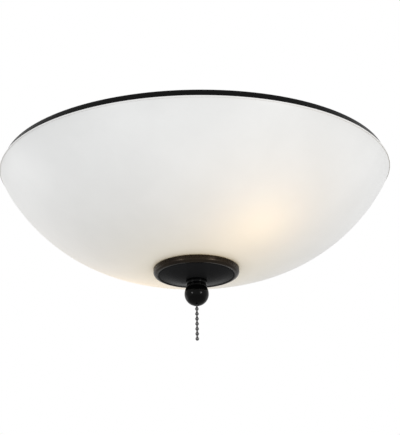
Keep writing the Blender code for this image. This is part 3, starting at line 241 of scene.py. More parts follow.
def globe_centre(number):
    """Where the glow painted on the glass comes from: near the middle of a bulb's globe."""
    place = lamp_axis(number)
    _, far, _, radius = extent(f"bulb_{number}_globe", place)
    return place @ Vector((0, 0, far - radius - GLOW_INSET)) + Vector((0, 0, GLOW_RAISE))


# ---- Mesh building


def arc(centre, radius, start_deg, end_deg, steps):
    points = []
    for step in range(steps + 1):
        angle = math.radians(start_deg + (end_deg - start_deg) * step / steps)
        points.append((centre[0] + radius * math.cos(angle), centre[1] + radius * math.sin(angle)))
    return points


def rounded(corners, steps):
    """A path through corners, each (r, z, radius), with an arc of that radius at each bend."""
    path = [tuple(corners[0][:2])]
    for before, corner, after in zip(corners, corners[1:], corners[2:]):
        here = Vector(corner[:2])
        back = (Vector(before[:2]) - here).normalized()
        on = (Vector(after[:2]) - here).normalized()
        radius = corner[2]
        if radius <= 0:
            path.append(tuple(here))
            continue
        half = back.angle(on) / 2
        run = radius / math.tan(half)
        middle = here + (back + on).normalized() * radius / math.sin(half)
        first = here + back * run - middle
        turn = first.angle_signed(here + on * run - middle)
        for step in range(steps + 1):
            path.append(tuple(middle + Matrix.Rotation(-turn * step / steps, 2) @ first))
    path.append(tuple(corners[-1][:2]))
    return path


def ring_of(corners, steps):
    """A closed outline with a rounded bend at every corner, each (r, z, radius)."""
    looped = [corners[-1]] + list(corners) + [corners[0]]
    return rounded(looped, steps)[1:-1]


def offset_path(path, distance):
    """The same path moved to the right of its direction of travel."""
    moved = []
    last = len(path) - 1
    for index, point in enumerate(path):
        normals = []
        for start in (index - 1, index):
            if 0 <= start < last:
                step = Vector(path[start + 1]) - Vector(path[start])
                if step.length > TINY:
                    normals.append(Vector((-step.y, step.x)).normalized())
        mean = sum(normals, Vector((0, 0))).normalized()
        stretch = distance / max(mean.dot(normals[0]), 0.5)
        moved.append(tuple(Vector(point) - mean * stretch))
    return moved


def smoothed(knots, steps):
    """A soft curve through knots of (r, z)."""
    points = []
    padded = [knots[0]] + list(knots) + [knots[-1]]
    for a, b, c, d in zip(padded, padded[1:], padded[2:], padded[3:]):
        a, b, c, d = Vector(a), Vector(b), Vector(c), Vector(d)
        for step in range(steps):
            t = step / steps
            square, cube = 2 * a - 5 * b + 4 * c - d, 3 * b - a - 3 * c + d
            points.append(tuple(0.5 * (2 * b + (c - a) * t + square * t**2 + cube * t**3)))
    points.append(tuple(knots[-1]))
    return points


def from_bmesh(name, shape, place=UPRIGHT, sharp=SHARP_DEG):
    bmesh.ops.remove_doubles(shape, verts=shape.verts, dist=TINY / 10)
    bmesh.ops.recalc_face_normals(shape, faces=shape.faces)
    bmesh.ops.transform(shape, matrix=place, verts=shape.verts)
    mesh = bpy.data.meshes.new(name)
    shape.to_mesh(mesh)
    shape.free()
    mesh.shade_smooth()
    mesh.set_sharp_from_angle(angle=math.radians(sharp))
    obj = bpy.data.objects.new(name, mesh)
    bpy.context.scene.collection.objects.link(obj)
    return obj


def lathe(name, profile, sides, place=UPRIGHT, shape=None, sharp=SHARP_DEG):
    """A turned piece of (r, z, amount) points. shape(turn, r, z, amount) gives the final r.

    The outline closes from its last point to its first, which may both lie on the axis.
    """
    made = bmesh.new()
    rings = []
    for item in profile:
        r, z, amount = (*item, 0.0)[:3]
        if r < TINY:
            rings.append([made.verts.new((0, 0, z))])
            continue
        ring = []
        for side in range(sides):
            turn = math.tau * side / sides
            out = shape(turn, r, z, amount) if shape and amount else r
            ring.append(made.verts.new((out * math.cos(turn), out * math.sin(turn), z)))
        rings.append(ring)
    for one, two in zip(rings, rings[1:] + rings[:1]):
        if len(one) == 1 and len(two) == 1:
            continue
        for side in range(sides):
            on = (side + 1) % sides
            if len(one) == 1:
                made.faces.new((one[0], two[on], two[side]))
            elif len(two) == 1:
                made.faces.new((one[side], one[on], two[0]))
            else:
                made.faces.new((one[side], one[on], two[on], two[side]))
    return from_bmesh(name, made, place, sharp)


def thread(pitch, depth):
    """A right-hand thread, in phase with every other one of its pitch on the same axis."""

    def shaped(turn, r, z, amount):
        phase = math.cos(math.tau * (z / pitch - turn / math.tau))
        return r - amount * depth * (0.5 - 0.5 * phase)

    return shaped


def hexagon(first_corner):
    """Six flats across a radius; amount is how much of the flat shows."""

    def shaped(turn, r, z, amount):
        local = (turn - first_corner) % (math.pi / 3) - math.pi / 6
        flat = r * math.cos(math.pi / 6) / math.cos(local)
        return min(flat, amount)

    return shaped


def flutes(count, depth):
    """Even hollows round a piece."""

    def shaped(turn, r, z, amount):
        return r - amount * depth * (0.5 - 0.5 * math.cos(count * turn))

    return shaped


def threaded(low, high, radius, pitch, rings_per_turn, ends=None):
    """Profile points of a thread from top to bottom, fading out at both ends."""
    fade = ends if ends is not None else pitch * THREAD_FADE_SHARE
    count = max(4, round((high - low) / pitch * rings_per_turn))
    points = []
    for index in range(count + 1):
        z = high + (low - high) * index / count
        near = min(high - z, z - low)
        points.append((radius, z, min(1.0, near / fade) if fade > 0 else 1.0))
    return points


def apply_modifiers(obj):
    bpy.context.view_layer.update()
    graph = bpy.context.evaluated_depsgraph_get()
    mesh = bpy.data.meshes.new_from_object(obj.evaluated_get(graph))
    obj.modifiers.clear()
    obj.data = mesh
    return mesh


def carve(obj, cutters):
    """Takes cutters out of a piece and deletes them."""
    for tool in cutters:
        boolean = obj.modifiers.new("cut", "BOOLEAN")
        boolean.operation = "DIFFERENCE"
        boolean.solver = "EXACT"
        boolean.object = tool
    apply_modifiers(obj).set_sharp_from_angle(angle=math.radians(SHARP_DEG))
    for tool in cutters:
        bpy.data.objects.remove(tool, do_unlink=True)
    return obj


def rod(radius, low, high, place=UPRIGHT, sides=32):
    return lathe("cutter", [(0, high), (radius, high), (radius, low), (0, low)], sides, place)


def box_between(name, low, high, place=UPRIGHT):
    made = bmesh.new()
    bmesh.ops.create_cube(made, size=1)
    bmesh.ops.scale(made, vec=Vector(high) - Vector(low), verts=made.verts)
    bmesh.ops.translate(made, vec=(Vector(high) + Vector(low)) / 2, verts=made.verts)
    return from_bmesh(name, made, place)


def soften(obj, width, segments, angle_deg=30):
    """Rounds the edges of a piece."""
    bevel = obj.modifiers.new("edges", "BEVEL")
    bevel.width = width
    bevel.segments = segments
    bevel.limit_method = "ANGLE"
    bevel.angle_limit = math.radians(angle_deg)
    mesh = apply_modifiers(obj)
    mesh.shade_smooth()
    mesh.set_sharp_from_angle(angle=math.radians(SOFT_SHARP_DEG))
    return obj


def copy_of(node):
    """A new piece with the shape of a node."""
    made = bmesh.new()
    made.from_mesh(NODES[node].data)
    bmesh.ops.remove_doubles(made, verts=made.verts, dist=TINY)
    flat = math.radians(1)
    bmesh.ops.dissolve_limit(made, angle_limit=flat, verts=made.verts, edges=made.edges)
    return from_bmesh(f"{node}_fine", made)


def wire(name, points, radius, sides):
    """A round wire along points, with flat ends."""
    made = bmesh.new()
    rings = []
    side = None
    for index, point in enumerate(points):
        before = points[max(index - 1, 0)]
        after = points[min(index + 1, len(points) - 1)]
        way = (after - before).normalized()
        if side is None:
            side = way.orthogonal().normalized()
        side = (side - way * side.dot(way)).normalized()
        other = way.cross(side)
        ring = []
        for step in range(sides):
            turn = math.tau * step / sides
            out = side * math.cos(turn) + other * math.sin(turn)
            ring.append(made.verts.new(point + out * radius))
        rings.append(ring)
    for one, two in zip(rings, rings[1:]):
        for step in range(sides):
            on = (step + 1) % sides
            made.faces.new((one[step], one[on], two[on], two[step]))
    made.faces.new(rings[0])
    made.faces.new(rings[-1])
    return from_bmesh(name, made, sharp=TURNED_SHARP_DEG)


# ---- Materials


class Tree:
    """Short calls that build a node tree."""

    def __init__(self, tree):
        self.tree = tree

    def feed(self, socket, value):
        """Links a socket to another one, or sets it to a plain value."""
        if isinstance(value, bpy.types.NodeSocket):
            self.tree.links.new(value, socket)
        else:
            socket.default_value = value

    def add(self, kind, inputs, **attributes):
        """Outputs of a new node, whose inputs are fed by name or number."""
        node = self.tree.nodes.new(kind)
        for key, value in attributes.items():
            setattr(node, key, value)
        for key, value in inputs.items():
            self.feed(node.inputs[key], value)
        return node.outputs

    def math(self, operation, *values):
        return self.add("ShaderNodeMath", dict(enumerate(values)), operation=operation)[0]

    def level(self, factor, low, high, from_low=0.3, from_high=0.7):
        """A number that goes from low to high as the factor goes between two values."""
        inputs = {"Value": factor, "From Min": from_low, "From Max": from_high}
        inputs |= {"To Min": low, "To Max": high}
        return self.add("ShaderNodeMapRange", inputs)["Result"]


class Look(Tree):
    """A material, and short calls that build its node tree."""

    def __init__(self, name, **settings):
        self.material = bpy.data.materials.new(name)
        self.material.use_nodes = True
        super().__init__(self.material.node_tree)
        self.shader = self.tree.nodes["Principled BSDF"]
        for socket, value in settings.items():
            self.shade(socket.replace("_", " "), value)
        self.place = self.add("ShaderNodeTexCoord", {})["Object"]

    def shade(self, socket, value):
        self.feed(self.shader.inputs[socket], value)

    def vector(self, operation, first, second=(0, 0, 0)):
        """A calculation with vectors, or with a vector and a number for SCALE."""
        inputs = {0: first, "Scale" if operation == "SCALE" else 1: second}
        made = self.add("ShaderNodeVectorMath", inputs, operation=operation)
        return made["Value" if operation in ("LENGTH", "DOT_PRODUCT") else "Vector"]

    def round_axis(self):
        """The squared distance from the z axis, and the height."""
        x, y, z = self.add("ShaderNodeSeparateXYZ", {"Vector": self.place}).values()
        return self.math("ADD", self.math("MULTIPLY", x, x), self.math("MULTIPLY", y, y)), z

    def noise(self, scale, detail=3.0, roughness=0.5, stretch=None):
        source = self.place
        if stretch:
            source = self.add("ShaderNodeMapping", {"Scale": stretch, "Vector": source})["Vector"]
        inputs = {"Scale": scale, "Detail": detail, "Roughness": roughness, "Vector": source}
        return self.add("ShaderNodeTexNoise", inputs)["Fac"]

    def ramp(self, factor, *stops):
        made = self.add("ShaderNodeValToRGB", {"Fac": factor})["Color"]
        elements = made.node.color_ramp.elements
        while len(elements) < len(stops):
            elements.new(0.5)
        for element, (position, colour) in zip(elements, stops):
            element.position = position
            element.color = (*colour, 1.0)
        return made

    def bump(self, height, distance, strength=1.0):
        inputs = {"Strength": strength, "Distance": distance, "Height": height}
        self.shade("Normal", self.add("ShaderNodeBump", inputs)["Normal"])

    def colour(self, factor, *stops):
        self.shade("Base Color", self.ramp(factor, *stops))

    def roughness(self, factor, low, high):
        self.shade("Roughness", self.level(factor, low, high))


def tinted(colour, share):
    return tuple(min(1.0, channel * share) for channel in colour)


def mottled(name, colour, spread, gloss, scales, depth, **settings):
    """One colour with slight changes of tone and roughness, and a fine grain of some depth."""
    look = Look(name, Metallic=0.0, **settings)
    broad, middle, grain = scales
    tones = (0.3, tinted(colour, 1 - spread)), (0.7, tinted(colour, 1 + spread))
    look.colour(look.noise(broad, 4), *tones)
    look.roughness(look.noise(middle, 3), *gloss)
    look.bump(look.noise(grain, 2), depth)
    return look.material


def moulded(name, colour, *gloss, depth=0.00002, grain=900, subsurface=0.0, spread=0.06):
    """Moulded plastic, rubber or fibre."""
    inside = {"Subsurface_Weight": subsurface, "Subsurface_Scale": 0.002}
    return mottled(name, colour, spread, gloss, (70, 260, grain), depth, **inside)


def paint_look():
    """Black powder coat with a fine orange peel."""
    tone, gloss, scales = (0.0035, 0.0034, 0.0034), (0.22, 0.32), (60, 220, 1400)
    return mottled("black_paint", tone, 0.15, gloss, scales, 0.000012, Specular_IOR_Level=0.05)


def metal(name, colour, other, low, high, scale=300):
    """Plated or spun metal: two close tones, and fine marks that change its roughness."""
    look = Look(name, Metallic=1.0)
    look.colour(look.noise(90, 4, 0.6), (0.32, colour), (0.68, other))
    marks = look.noise(scale, 5, 0.65)
    look.roughness(marks, low, high)
    look.bump(marks, 0.00001)
    return look.material


def porcelain_look():
    look = Look("porcelain", Metallic=0.0, Coat_Weight=0.8, Coat_Roughness=0.05)
    look.colour(look.noise(140, 5), (0.25, (0.80, 0.78, 0.73)), (0.8, (0.86, 0.845, 0.81)))
    look.roughness(look.noise(80, 3), 0.18, 0.3)
    look.bump(look.noise(160, 2), 0.00006)
    return look.material


def fibre_look():
    look = Look("fibre", Metallic=0.0)
    strands = look.noise(500, 6, 0.7, (1, 1, 0.2))
    look.colour(strands, (0.3, (0.20, 0.11, 0.065)), (0.72, (0.36, 0.21, 0.13)))
    look.roughness(look.noise(400, 4), 0.7, 0.9)
    look.bump(look.noise(900, 4, 0.7), 0.00006)
    return look.material


def globe_look():
    """Frosted globe of a lit lamp."""
    inside = {"Subsurface_Weight": 0.3, "Subsurface_Scale": 0.004}
    look = Look("bulb_globe", Metallic=0.0, Roughness=0.5, Emission_Strength=1.0, **inside)
    grain = look.noise(300, 3)
    look.colour(grain, (0.3, (0.93, 0.88, 0.78)), (0.7, (0.97, 0.93, 0.85)))
    glow = look.ramp(grain, (0.3, (0.60, 0.47, 0.30)), (0.7, (0.68, 0.54, 0.36)))
    look.shade("Emission Color", glow)
    look.bump(look.noise(1200, 2), 0.00002)
    return look.material


def bronze_look():
    """Near-black bronze whose raised outer ring has worn to a warmer brown."""
    look = Look("black_bronze", Specular_IOR_Level=0.006)
    radius = look.math("SQRT", look.round_axis()[0])
    uneven = look.math("MULTIPLY_ADD", look.noise(55, 5, 0.6), 2 * WORN_STRAY, -WORN_STRAY)
    edge = look.level(look.math("ADD", radius, uneven), 0.0, 1.0, *WORN_BETWEEN)
    worn = look.math("MULTIPLY", edge, look.level(look.noise(35, 4, 0.6), 0.45, 1.0))
    look.colour(worn, *BRONZE_TONES)
    look.shade("Metallic", worn)
    look.roughness(look.noise(120, 4), 0.24, 0.32)
    rings = look.math("SINE", look.math("MULTIPLY", radius, TURNING_MARKS))
    look.bump(look.math("MULTIPLY_ADD", rings, 0.15, look.noise(900, 3)), 0.000015)
    return look.material


def enamel_look():
    """Smooth black enamel of the ball, in the bronze's finish."""
    look = Look("black_enamel", Metallic=0.0, Specular_IOR_Level=0.085)
    look.colour(look.noise(90, 4), (0.3, (0.0010, 0.0010, 0.0011)), (0.7, (0.0016, 0.0015, 0.0015)))
    look.roughness(look.noise(160, 3), 0.15, 0.20)
    look.bump(look.noise(700, 3), 0.00001)
    return look.material


def opal_look():
    """White opal glass with painted light: a glow from the two globes, warm light and rim shade."""
    coat = {"Coat_Weight": 0.35, "Coat_Roughness": 0.38}
    look = Look("opal_glass", Metallic=0.0, IOR=1.45, Emission_Strength=1.0, **coat)
    around, z = look.round_axis()
    # Painted warm light: the base colour turns warmer near the axis, where the globes' light gathers round the
    # plate
    middle = look.math("EXPONENT", look.math("MULTIPLY", around, -1 / WARM_LIGHT_REACH**2))
    # Painted shade: the base colour darkens near the rim, in the shade under the pan's skirt
    under = look.math("EXPONENT", look.math("MULTIPLY_ADD", z, 1 / RIM_REACH, -RIM_Z / RIM_REACH))
    cloudy = look.ramp(look.noise(26, 4, 0.55), (0.3, GLASS_TONE_LOW), (0.7, GLASS_TONE_HIGH))
    mixed = {"Factor": middle, "A": cloudy, "B": (*GLASS_WARM_LIGHT_TONE, 1.0)}
    tone = look.add("ShaderNodeMix", mixed, data_type="RGBA")["Result"]
    shade = look.math("MULTIPLY_ADD", under, -RIM_SHADE, 1.0)
    look.shade("Base Color", look.vector("SCALE", tone, shade))
    look.roughness(look.noise(40, 3), 0.40, 0.50)
    look.bump(look.noise(18, 2), 0.0004, 0.25)
    # Painted glow: each globe adds emission that falls off with distance from its centre, in place of the lamps'
    # light through the glass
    normal = look.add("ShaderNodeNewGeometry", {})["Normal"]
    total = None
    for number, power in GLOW_POWERS.items():
        away = look.vector("SUBTRACT", look.place, globe_centre(number))
        facing = look.math("ABSOLUTE", look.vector("DOT_PRODUCT", away, normal))
        cube = look.math("POWER", look.vector("LENGTH", away), 3.0)
        lit = look.math("MULTIPLY", look.math("DIVIDE", facing, cube), power)
        total = lit if total is None else look.math("ADD", total, lit)
    glow = look.vector("SCALE", GLOW_TONE, total)
    # Painted scattered light: warm emission round the middle, around the plate
    scatter = look.vector("SCALE", SCATTER_GLOW_TONE, middle)
    look.shade("Emission Color", look.vector("ADD", glow, scatter))
    return look.material


LOOKS = {
    "black_paint": paint_look(),
    "black_bronze": bronze_look(),
    "opal_glass": opal_look(),
    "zinc_steel": metal("zinc_steel", (0.60, 0.61, 0.62), (0.68, 0.67, 0.62), 0.26, 0.42),
    "green_zinc": metal("green_zinc", (0.04, 0.28, 0.10), (0.07, 0.38, 0.15), 0.30, 0.45),
    "brass": metal("brass", (0.68, 0.50, 0.23), (0.78, 0.60, 0.31), 0.20, 0.38),
    "porcelain": porcelain_look(),
    "black_plastic": moulded("black_plastic", (0.028, 0.028, 0.029), 0.38, 0.52),
    "white_plastic": moulded(
        "white_plastic", (0.83, 0.83, 0.81), 0.34, 0.44, subsurface=0.1, spread=0.02
    ),
    "bulb_globe": globe_look(),
    "rubber": moulded("rubber", (0.035, 0.034, 0.033), 0.65, 0.85, depth=0.00005, grain=600),
    "fibre": fibre_look(),
    "chain_metal": metal(
        "chain_metal", (0.085, 0.085, 0.086), (0.13, 0.13, 0.13), 0.34, 0.50, scale=900
    ),
    "white_wire": moulded("white_wire", (0.82, 0.82, 0.80), 0.38, 0.50, spread=0.03),
    "black_wire": moulded("black_wire", (0.020, 0.020, 0.021), 0.36, 0.50),
    "orange_plastic": moulded("orange_plastic", (0.78, 0.20, 0.025), 0.42, 0.55),
}


def dress(obj, node, look=None):
    """Makes a piece stand for a node, on its body and with its finish."""
    obj.data.materials.clear()
    obj.data.materials.append(look or LOOKS[SLOT_OF[node]])
    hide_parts(node)
    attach(obj, BODY_OF[node])


# ---- Pieces


def turn_piece(node, profile, sides, place=UPRIGHT, look=None, **options):
    """Turns a fine piece and lets it stand for its node."""
    dress(lathe(f"{node}_fine", profile, sides, place, **options), node, look)


def make_pan():
    low, _, _, foot = extent("fitter_pan")
    path = rounded(
        [
            (WIRE_HOLE, 0, 0),
            (HUB_RADIUS, 0, HUB_CORNER),
            (HUB_RADIUS, PAN_FLAT_Z, HUB_FOOT_CORNER),
            (foot - PAN_SHOULDER_IN, PAN_FLAT_Z, PAN_SHOULDER),
            (foot - HAIR, low + ROUND, 0),
        ],
        8,
    )
    inner = offset_path(path, PAN_SHEET)
    hem = arc((foot - HEM, low + HEM), HEM, 20, -180, 8)
    pan = lathe("fitter_pan_fine", path[:-1] + hem + inner[::-1][1:], 144)
    cutters = [rod(MOUNT_HOLE, -PAN_SHEET - PAST, PAST, spot) for spot in MOUNT_SPOTS]
    for spot in STRAP_SPOTS:
        cutters.append(rod(SCREW_HOLE, PAN_FLAT_Z - PAN_SHEET - PAST, PAN_FLAT_Z + PAST, spot))
    dress(carve(pan, cutters), "fitter_pan")


def make_bushing():
    low, high, bore, flange = extent("wire_bushing")
    shelf = high - BUSHING_LIP
    corners = [(bore, high, EDGE), (BUSHING_NECK, high, EDGE), (BUSHING_NECK, shelf, HAIR)]
    corners += [(flange, shelf, ROUND), (flange, low, WIDE), (bore, low, WIDE)]
    turn_piece("wire_bushing", ring_of(corners, 4), 64)


def bowl_side(radius, seat, hole, steps):
    """Outer side of the glass from its rim down to the hole, flat under its middle."""
    path = []
    for step in range(steps + 1):
        angle = math.radians(90 * (1 - step / steps))
        down = GLASS_DEPTH * max(math.cos(angle), 0.0) ** (2 / DEPTH_POWER)
        if down >= seat:
            break
        path.append((radius * math.sin(angle) ** (2 / RADIAL_POWER), RIM_Z - down))
    share = 1 - (seat / GLASS_DEPTH) ** DEPTH_POWER
    last = (radius * share ** (1 / RADIAL_POWER), GLASS_SEAT_RADIUS, hole)
    return path + [(r, RIM_Z - seat) for r in last]


def make_glass():
    low, _, hole, radius = extent("glass_bowl")
    seat, wall, edge = RIM_Z - low, GLASS_WALL, GLASS_EDGE
    floor, turn_z = RIM_Z - seat, RIM_Z - edge
    outer = bowl_side(radius, seat, hole, 64)
    inner = [(r, min(z, turn_z)) for r, z in offset_path(outer, wall)]
    inner[0], inner[-1] = (radius - wall, turn_z), (hole + EDGE, floor + wall)
    outer[-1] = (hole + EDGE, floor)
    rim = arc((radius - wall + edge, turn_z), edge, 180, 90, 5)
    rim += arc((radius - edge, turn_z), edge, 0, 90, 5)[::-1]
    hole_wall = [(hole, floor + EDGE), (hole, floor + wall - EDGE)]
    profile = rim + outer[1:] + hole_wall + inner[:0:-1]
    turn_piece("glass_bowl", profile, 160, sharp=TURNED_SHARP_DEG)


def make_washers():
    low, high, bore, flange = extent("bowl_grommet")
    shelf = high - GROMMET_FLANGE
    corners = [(bore, high, HEM), (flange, high, WIDE), (flange, shelf, STEP)]
    corners += [(GROMMET_NECK, shelf, HAIR), (GROMMET_NECK, low, EDGE), (bore, low, EDGE)]
    turn_piece("bowl_grommet", ring_of(corners, 4), 64)
    low, high, bore, out = extent("bowl_washer")
    corners = [(bore, high, EDGE), (out, high, EDGE), (out, low, EDGE), (bore, low, EDGE)]
    turn_piece("bowl_washer", ring_of(corners, 3), 72)


def make_plate():
    low, high, bore, radius = extent("finial_plate")
    ring = [(radius - HEM, high, 0), (radius, high - HEM, STEP)]
    ring += [(radius, high - PLATE_RIM_DEPTH, PLATE_RIM_ROUND)]
    ring += [(r, high - depth, bend) for r, depth, bend in PLATE_RING]
    dome = [(r, high - depth) for r, depth in PLATE_DOME]
    dome += [(PLATE_FLAT_FROM, low + SOFT), (PLATE_FLAT_AT, low)]
    path = rounded(ring, 8)[:-1] + smoothed(dome, 5) + [(bore, low)]
    inner = offset_path(path, PLATE_SHEET)
    inner[0] = (radius - HEM - PLATE_SHEET, high)
    turn_piece("finial_plate", path + inner[::-1], 128)


def make_ball():
    low, top, _, radius = extent("finial_ball")
    centre = JOINTS["finial_spin"]["pos_m"][2]
    neck_deg = math.degrees(math.acos(FINIAL_NECK / radius))
    foot_deg = math.degrees(math.acos((FINIAL_MOUTH + SOFT) / radius))
    thread_foot, collar_foot = top - FINIAL_THREAD_DEPTH - EDGE, top - COLLAR_HEIGHT
    inset = COLLAR - LIP
    profile = [(FINIAL_THREAD, top - EDGE), (FINIAL_THREAD + EDGE, top), (inset, top)]
    profile += arc((inset, top - LIP), LIP, 75, 0, 4)
    profile += arc((inset, collar_foot + LIP), LIP, 0, -80, 4)
    profile += [(FINIAL_NECK + FILM, collar_foot - HAIR)]
    profile += arc((0, centre), radius, neck_deg, -foot_deg, 28)
    profile += [(FINIAL_MOUTH, low + STEP), (FINIAL_MOUTH, thread_foot)]
    profile += [(FINIAL_THREAD, thread_foot)]
    turn_piece("finial_ball", profile, 72, look=enamel_look())


def make_chain():
    upper, lower = (JOINTS[f"chain_swing_{way}"]["pos_m"][2] for way in ("front", "sideways"))
    first = upper + BEAD_PITCH / 2
    hidden = [first + BEAD_PITCH * index for index in reversed(range(HIDDEN_BEADS))]
    tail = [lower - BEAD_PITCH * (index + 0.5) for index in range(TAIL_BEADS)]
    neck_deg = math.degrees(math.acos(LINK / BEAD))
    for node, top, beads, foot in (
        ("chain_hidden", None, hidden, upper),
        ("chain_link", upper, [upper - BEAD_PITCH / 2], lower),
        ("chain_tail", lower, tail, None),
    ):
        if top is None:
            pole, short = TOP_CAP_DEG
            profile = [(0, beads[0] + BEAD)] + arc((0, beads[0]), BEAD, pole, neck_deg + short, 2)
        else:
            profile = [(0, top + LINK)] + arc((0, top), LINK, 90, 0, 4)[1:]
        for height in beads:
            profile += arc((0, height), BEAD, neck_deg, -neck_deg, 12)
        if foot is None:
            pole, short = FOOT_CAP_DEG
            profile += arc((0, beads[-1]), BEAD, -neck_deg - short, -pole, 2)
            profile += [(0, beads[-1] - BEAD)]
        else:
            profile += arc((0, foot), LINK, 0, -90, 4)[:-1] + [(0, foot - LINK)]
        turn_piece(node, profile, 24)


def screw(node, place, size):
    """Slotted pan head with a threaded shank, in the frame of its node."""
    low, high = heights(node, place)
    head, head_radius, shank = size
    pitch, crown, under = shank * SCREW_PITCH_SHARE, head * SCREW_CROWN_SHARE, low + head
    profile = [(0, high), (shank * SCREW_TIP_SHARE, high)]
    profile += threaded(under + SOFT, high - shank * SCREW_POINT_SHARE, shank, pitch, 6)
    profile += [(shank, under), (head_radius - SOFT, under)]
    profile += arc((head_radius - SOFT, under - SOFT), SOFT, 80, 0, 2)
    profile += arc((head_radius - crown, low + crown), crown, 0, -80, 6)
    profile += [(head_radius * SCREW_FACE_SHARE, low), (0, low)]
    made = lathe(f"{node}_fine", profile, 32, place, thread(pitch, shank * SCREW_DEPTH_SHARE))
    half, past, floor = head_radius * SCREW_SLOT_SHARE, head_radius + PAST, low - PAST
    top = low + head * SCREW_SLOT_DEPTH_SHARE
    slot = box_between("slot", (-past, -half, floor), (past, half, top), place)
    dress(carve(made, [slot]), node)


def make_screws():
    for index, spot in enumerate(MOUNT_SPOTS):
        screw(f"mounting_screw_{index + 1}", spot, MOUNT_SCREW)
    for index, spot in enumerate(STRAP_SPOTS):
        screw(f"strap_screw_{index + 1}", spot, STRAP_SCREW)
    screw("ground_screw", LAMPS @ at(GROUND_SCREW_X, 0), STRAP_SCREW)
    for number in (1, 2):
        screw(f"lampholder_screw_{number}", lamp_axis(number), LAMP_SCREW)


def corner_angle(node, place):
    """Direction of a hexagon's first corner."""
    point = max(points_of(node, place), key=lambda item: math.hypot(item.x, item.y))
    return math.atan2(point.y, point.x)


def nut(node, place=UPRIGHT):
    """Hexagon nut with chamfered corners and a countersunk bore."""
    low, high, bore, corner = extent(node, place)
    flat = corner * math.cos(math.pi / 6)
    rise = (corner - flat) * NUT_CHAMFER_SHARE
    half_way = flat + (corner - flat) * 0.5
    chamfer = [(0, flat * NUT_FACE_SHARE), (rise * 0.5, half_way), (rise, corner)]
    profile = [(bore + STEP, high)]
    profile += [(corner, high - down, across) for down, across in chamfer]
    profile += [(corner, (high + low) / 2, corner)]
    profile += [(corner, low + up, across) for up, across in reversed(chamfer)]
    profile += [(bore + STEP, low), (bore, low + STEP), (bore, high - STEP)]
    first = corner_angle(node, place)
    turn_piece(node, profile, 96, place, shape=hexagon(first), sharp=NUT_SHARP_DEG)


def make_stem():
    low, high, bore, radius = extent("threaded_stem")
    tip = radius - STEM_TIP
    middle = threaded(low + STEP, high - STEP, radius, STEM_PITCH, 7)
    profile = [(bore, high), (tip, high)] + middle + [(tip, low), (bore, low)]
    cut = thread(STEM_PITCH, STEM_DEPTH)
    turn_piece("threaded_stem", profile, 40, shape=cut, sharp=THREAD_SHARP_DEG)
    low, high, bore, out = extent("lock_washer")
    root = out * TEETH_FROM_SHARE
    profile = [(bore, high), (root, high), (out, high - HAIR, 1.0)]
    profile += [(out, low + HAIR, 1.0), (root, low), (bore, low)]
    teeth = flutes(TEETH, TOOTH_DEPTH)
    turn_piece("lock_washer", profile, 120, shape=teeth, sharp=SOFT_SHARP_DEG)
    nut("stem_coupling")
    nut("stem_nut")
    for index, spot in enumerate(STRAP_SPOTS):
        nut(f"strap_nut_{index + 1}", spot)


def make_strap():
    low, top = heights("strap")
    sheet, inside = STRAP_SHEET, STRAP_INSIDE
    half = [(inside, low + sheet, STRAP_BEND), (inside, top, STRAP_BEND + sheet)]
    half += [(STRAP_REACH, top, 0)]
    mirrored = [(-x, z, bend) for x, z, bend in reversed(half)]
    upper = rounded(mirrored + half, 8)
    outline = upper + offset_path(upper, sheet)[::-1]
    count = len(outline)
    made = bmesh.new()
    near, far = (
        [made.verts.new((x, y, z)) for x, z in outline] for y in (-STRAP_WIDTH / 2, STRAP_WIDTH / 2)
    )
    for index in range(count):
        on = (index + 1) % count
        made.faces.new((near[index], near[on], far[on], far[index]))
    for loop in (near, far):
        for index in range(len(upper) - 1):
            back = count - 1 - index
            made.faces.new((loop[index], loop[index + 1], loop[back - 1], loop[back]))
    strap = from_bmesh("strap_fine", made, LAMPS)
    cutters = [rod(STRAP_STEM_HOLE, low - PAST, low + sheet + PAST, LAMPS)]
    for spot in (STRAP_SCREW_X, -STRAP_SCREW_X, GROUND_SCREW_X):
        cutters.append(rod(SCREW_HOLE, top - sheet - PAST, top + PAST, LAMPS @ at(spot, 0)))
    for number in (1, 2):
        cutters.append(rod(SCREW_HOLE, inside - PAST, inside + sheet + PAST, lamp_axis(number)))
    dress(soften(carve(strap, cutters), *STRAP_BEVEL), "strap")


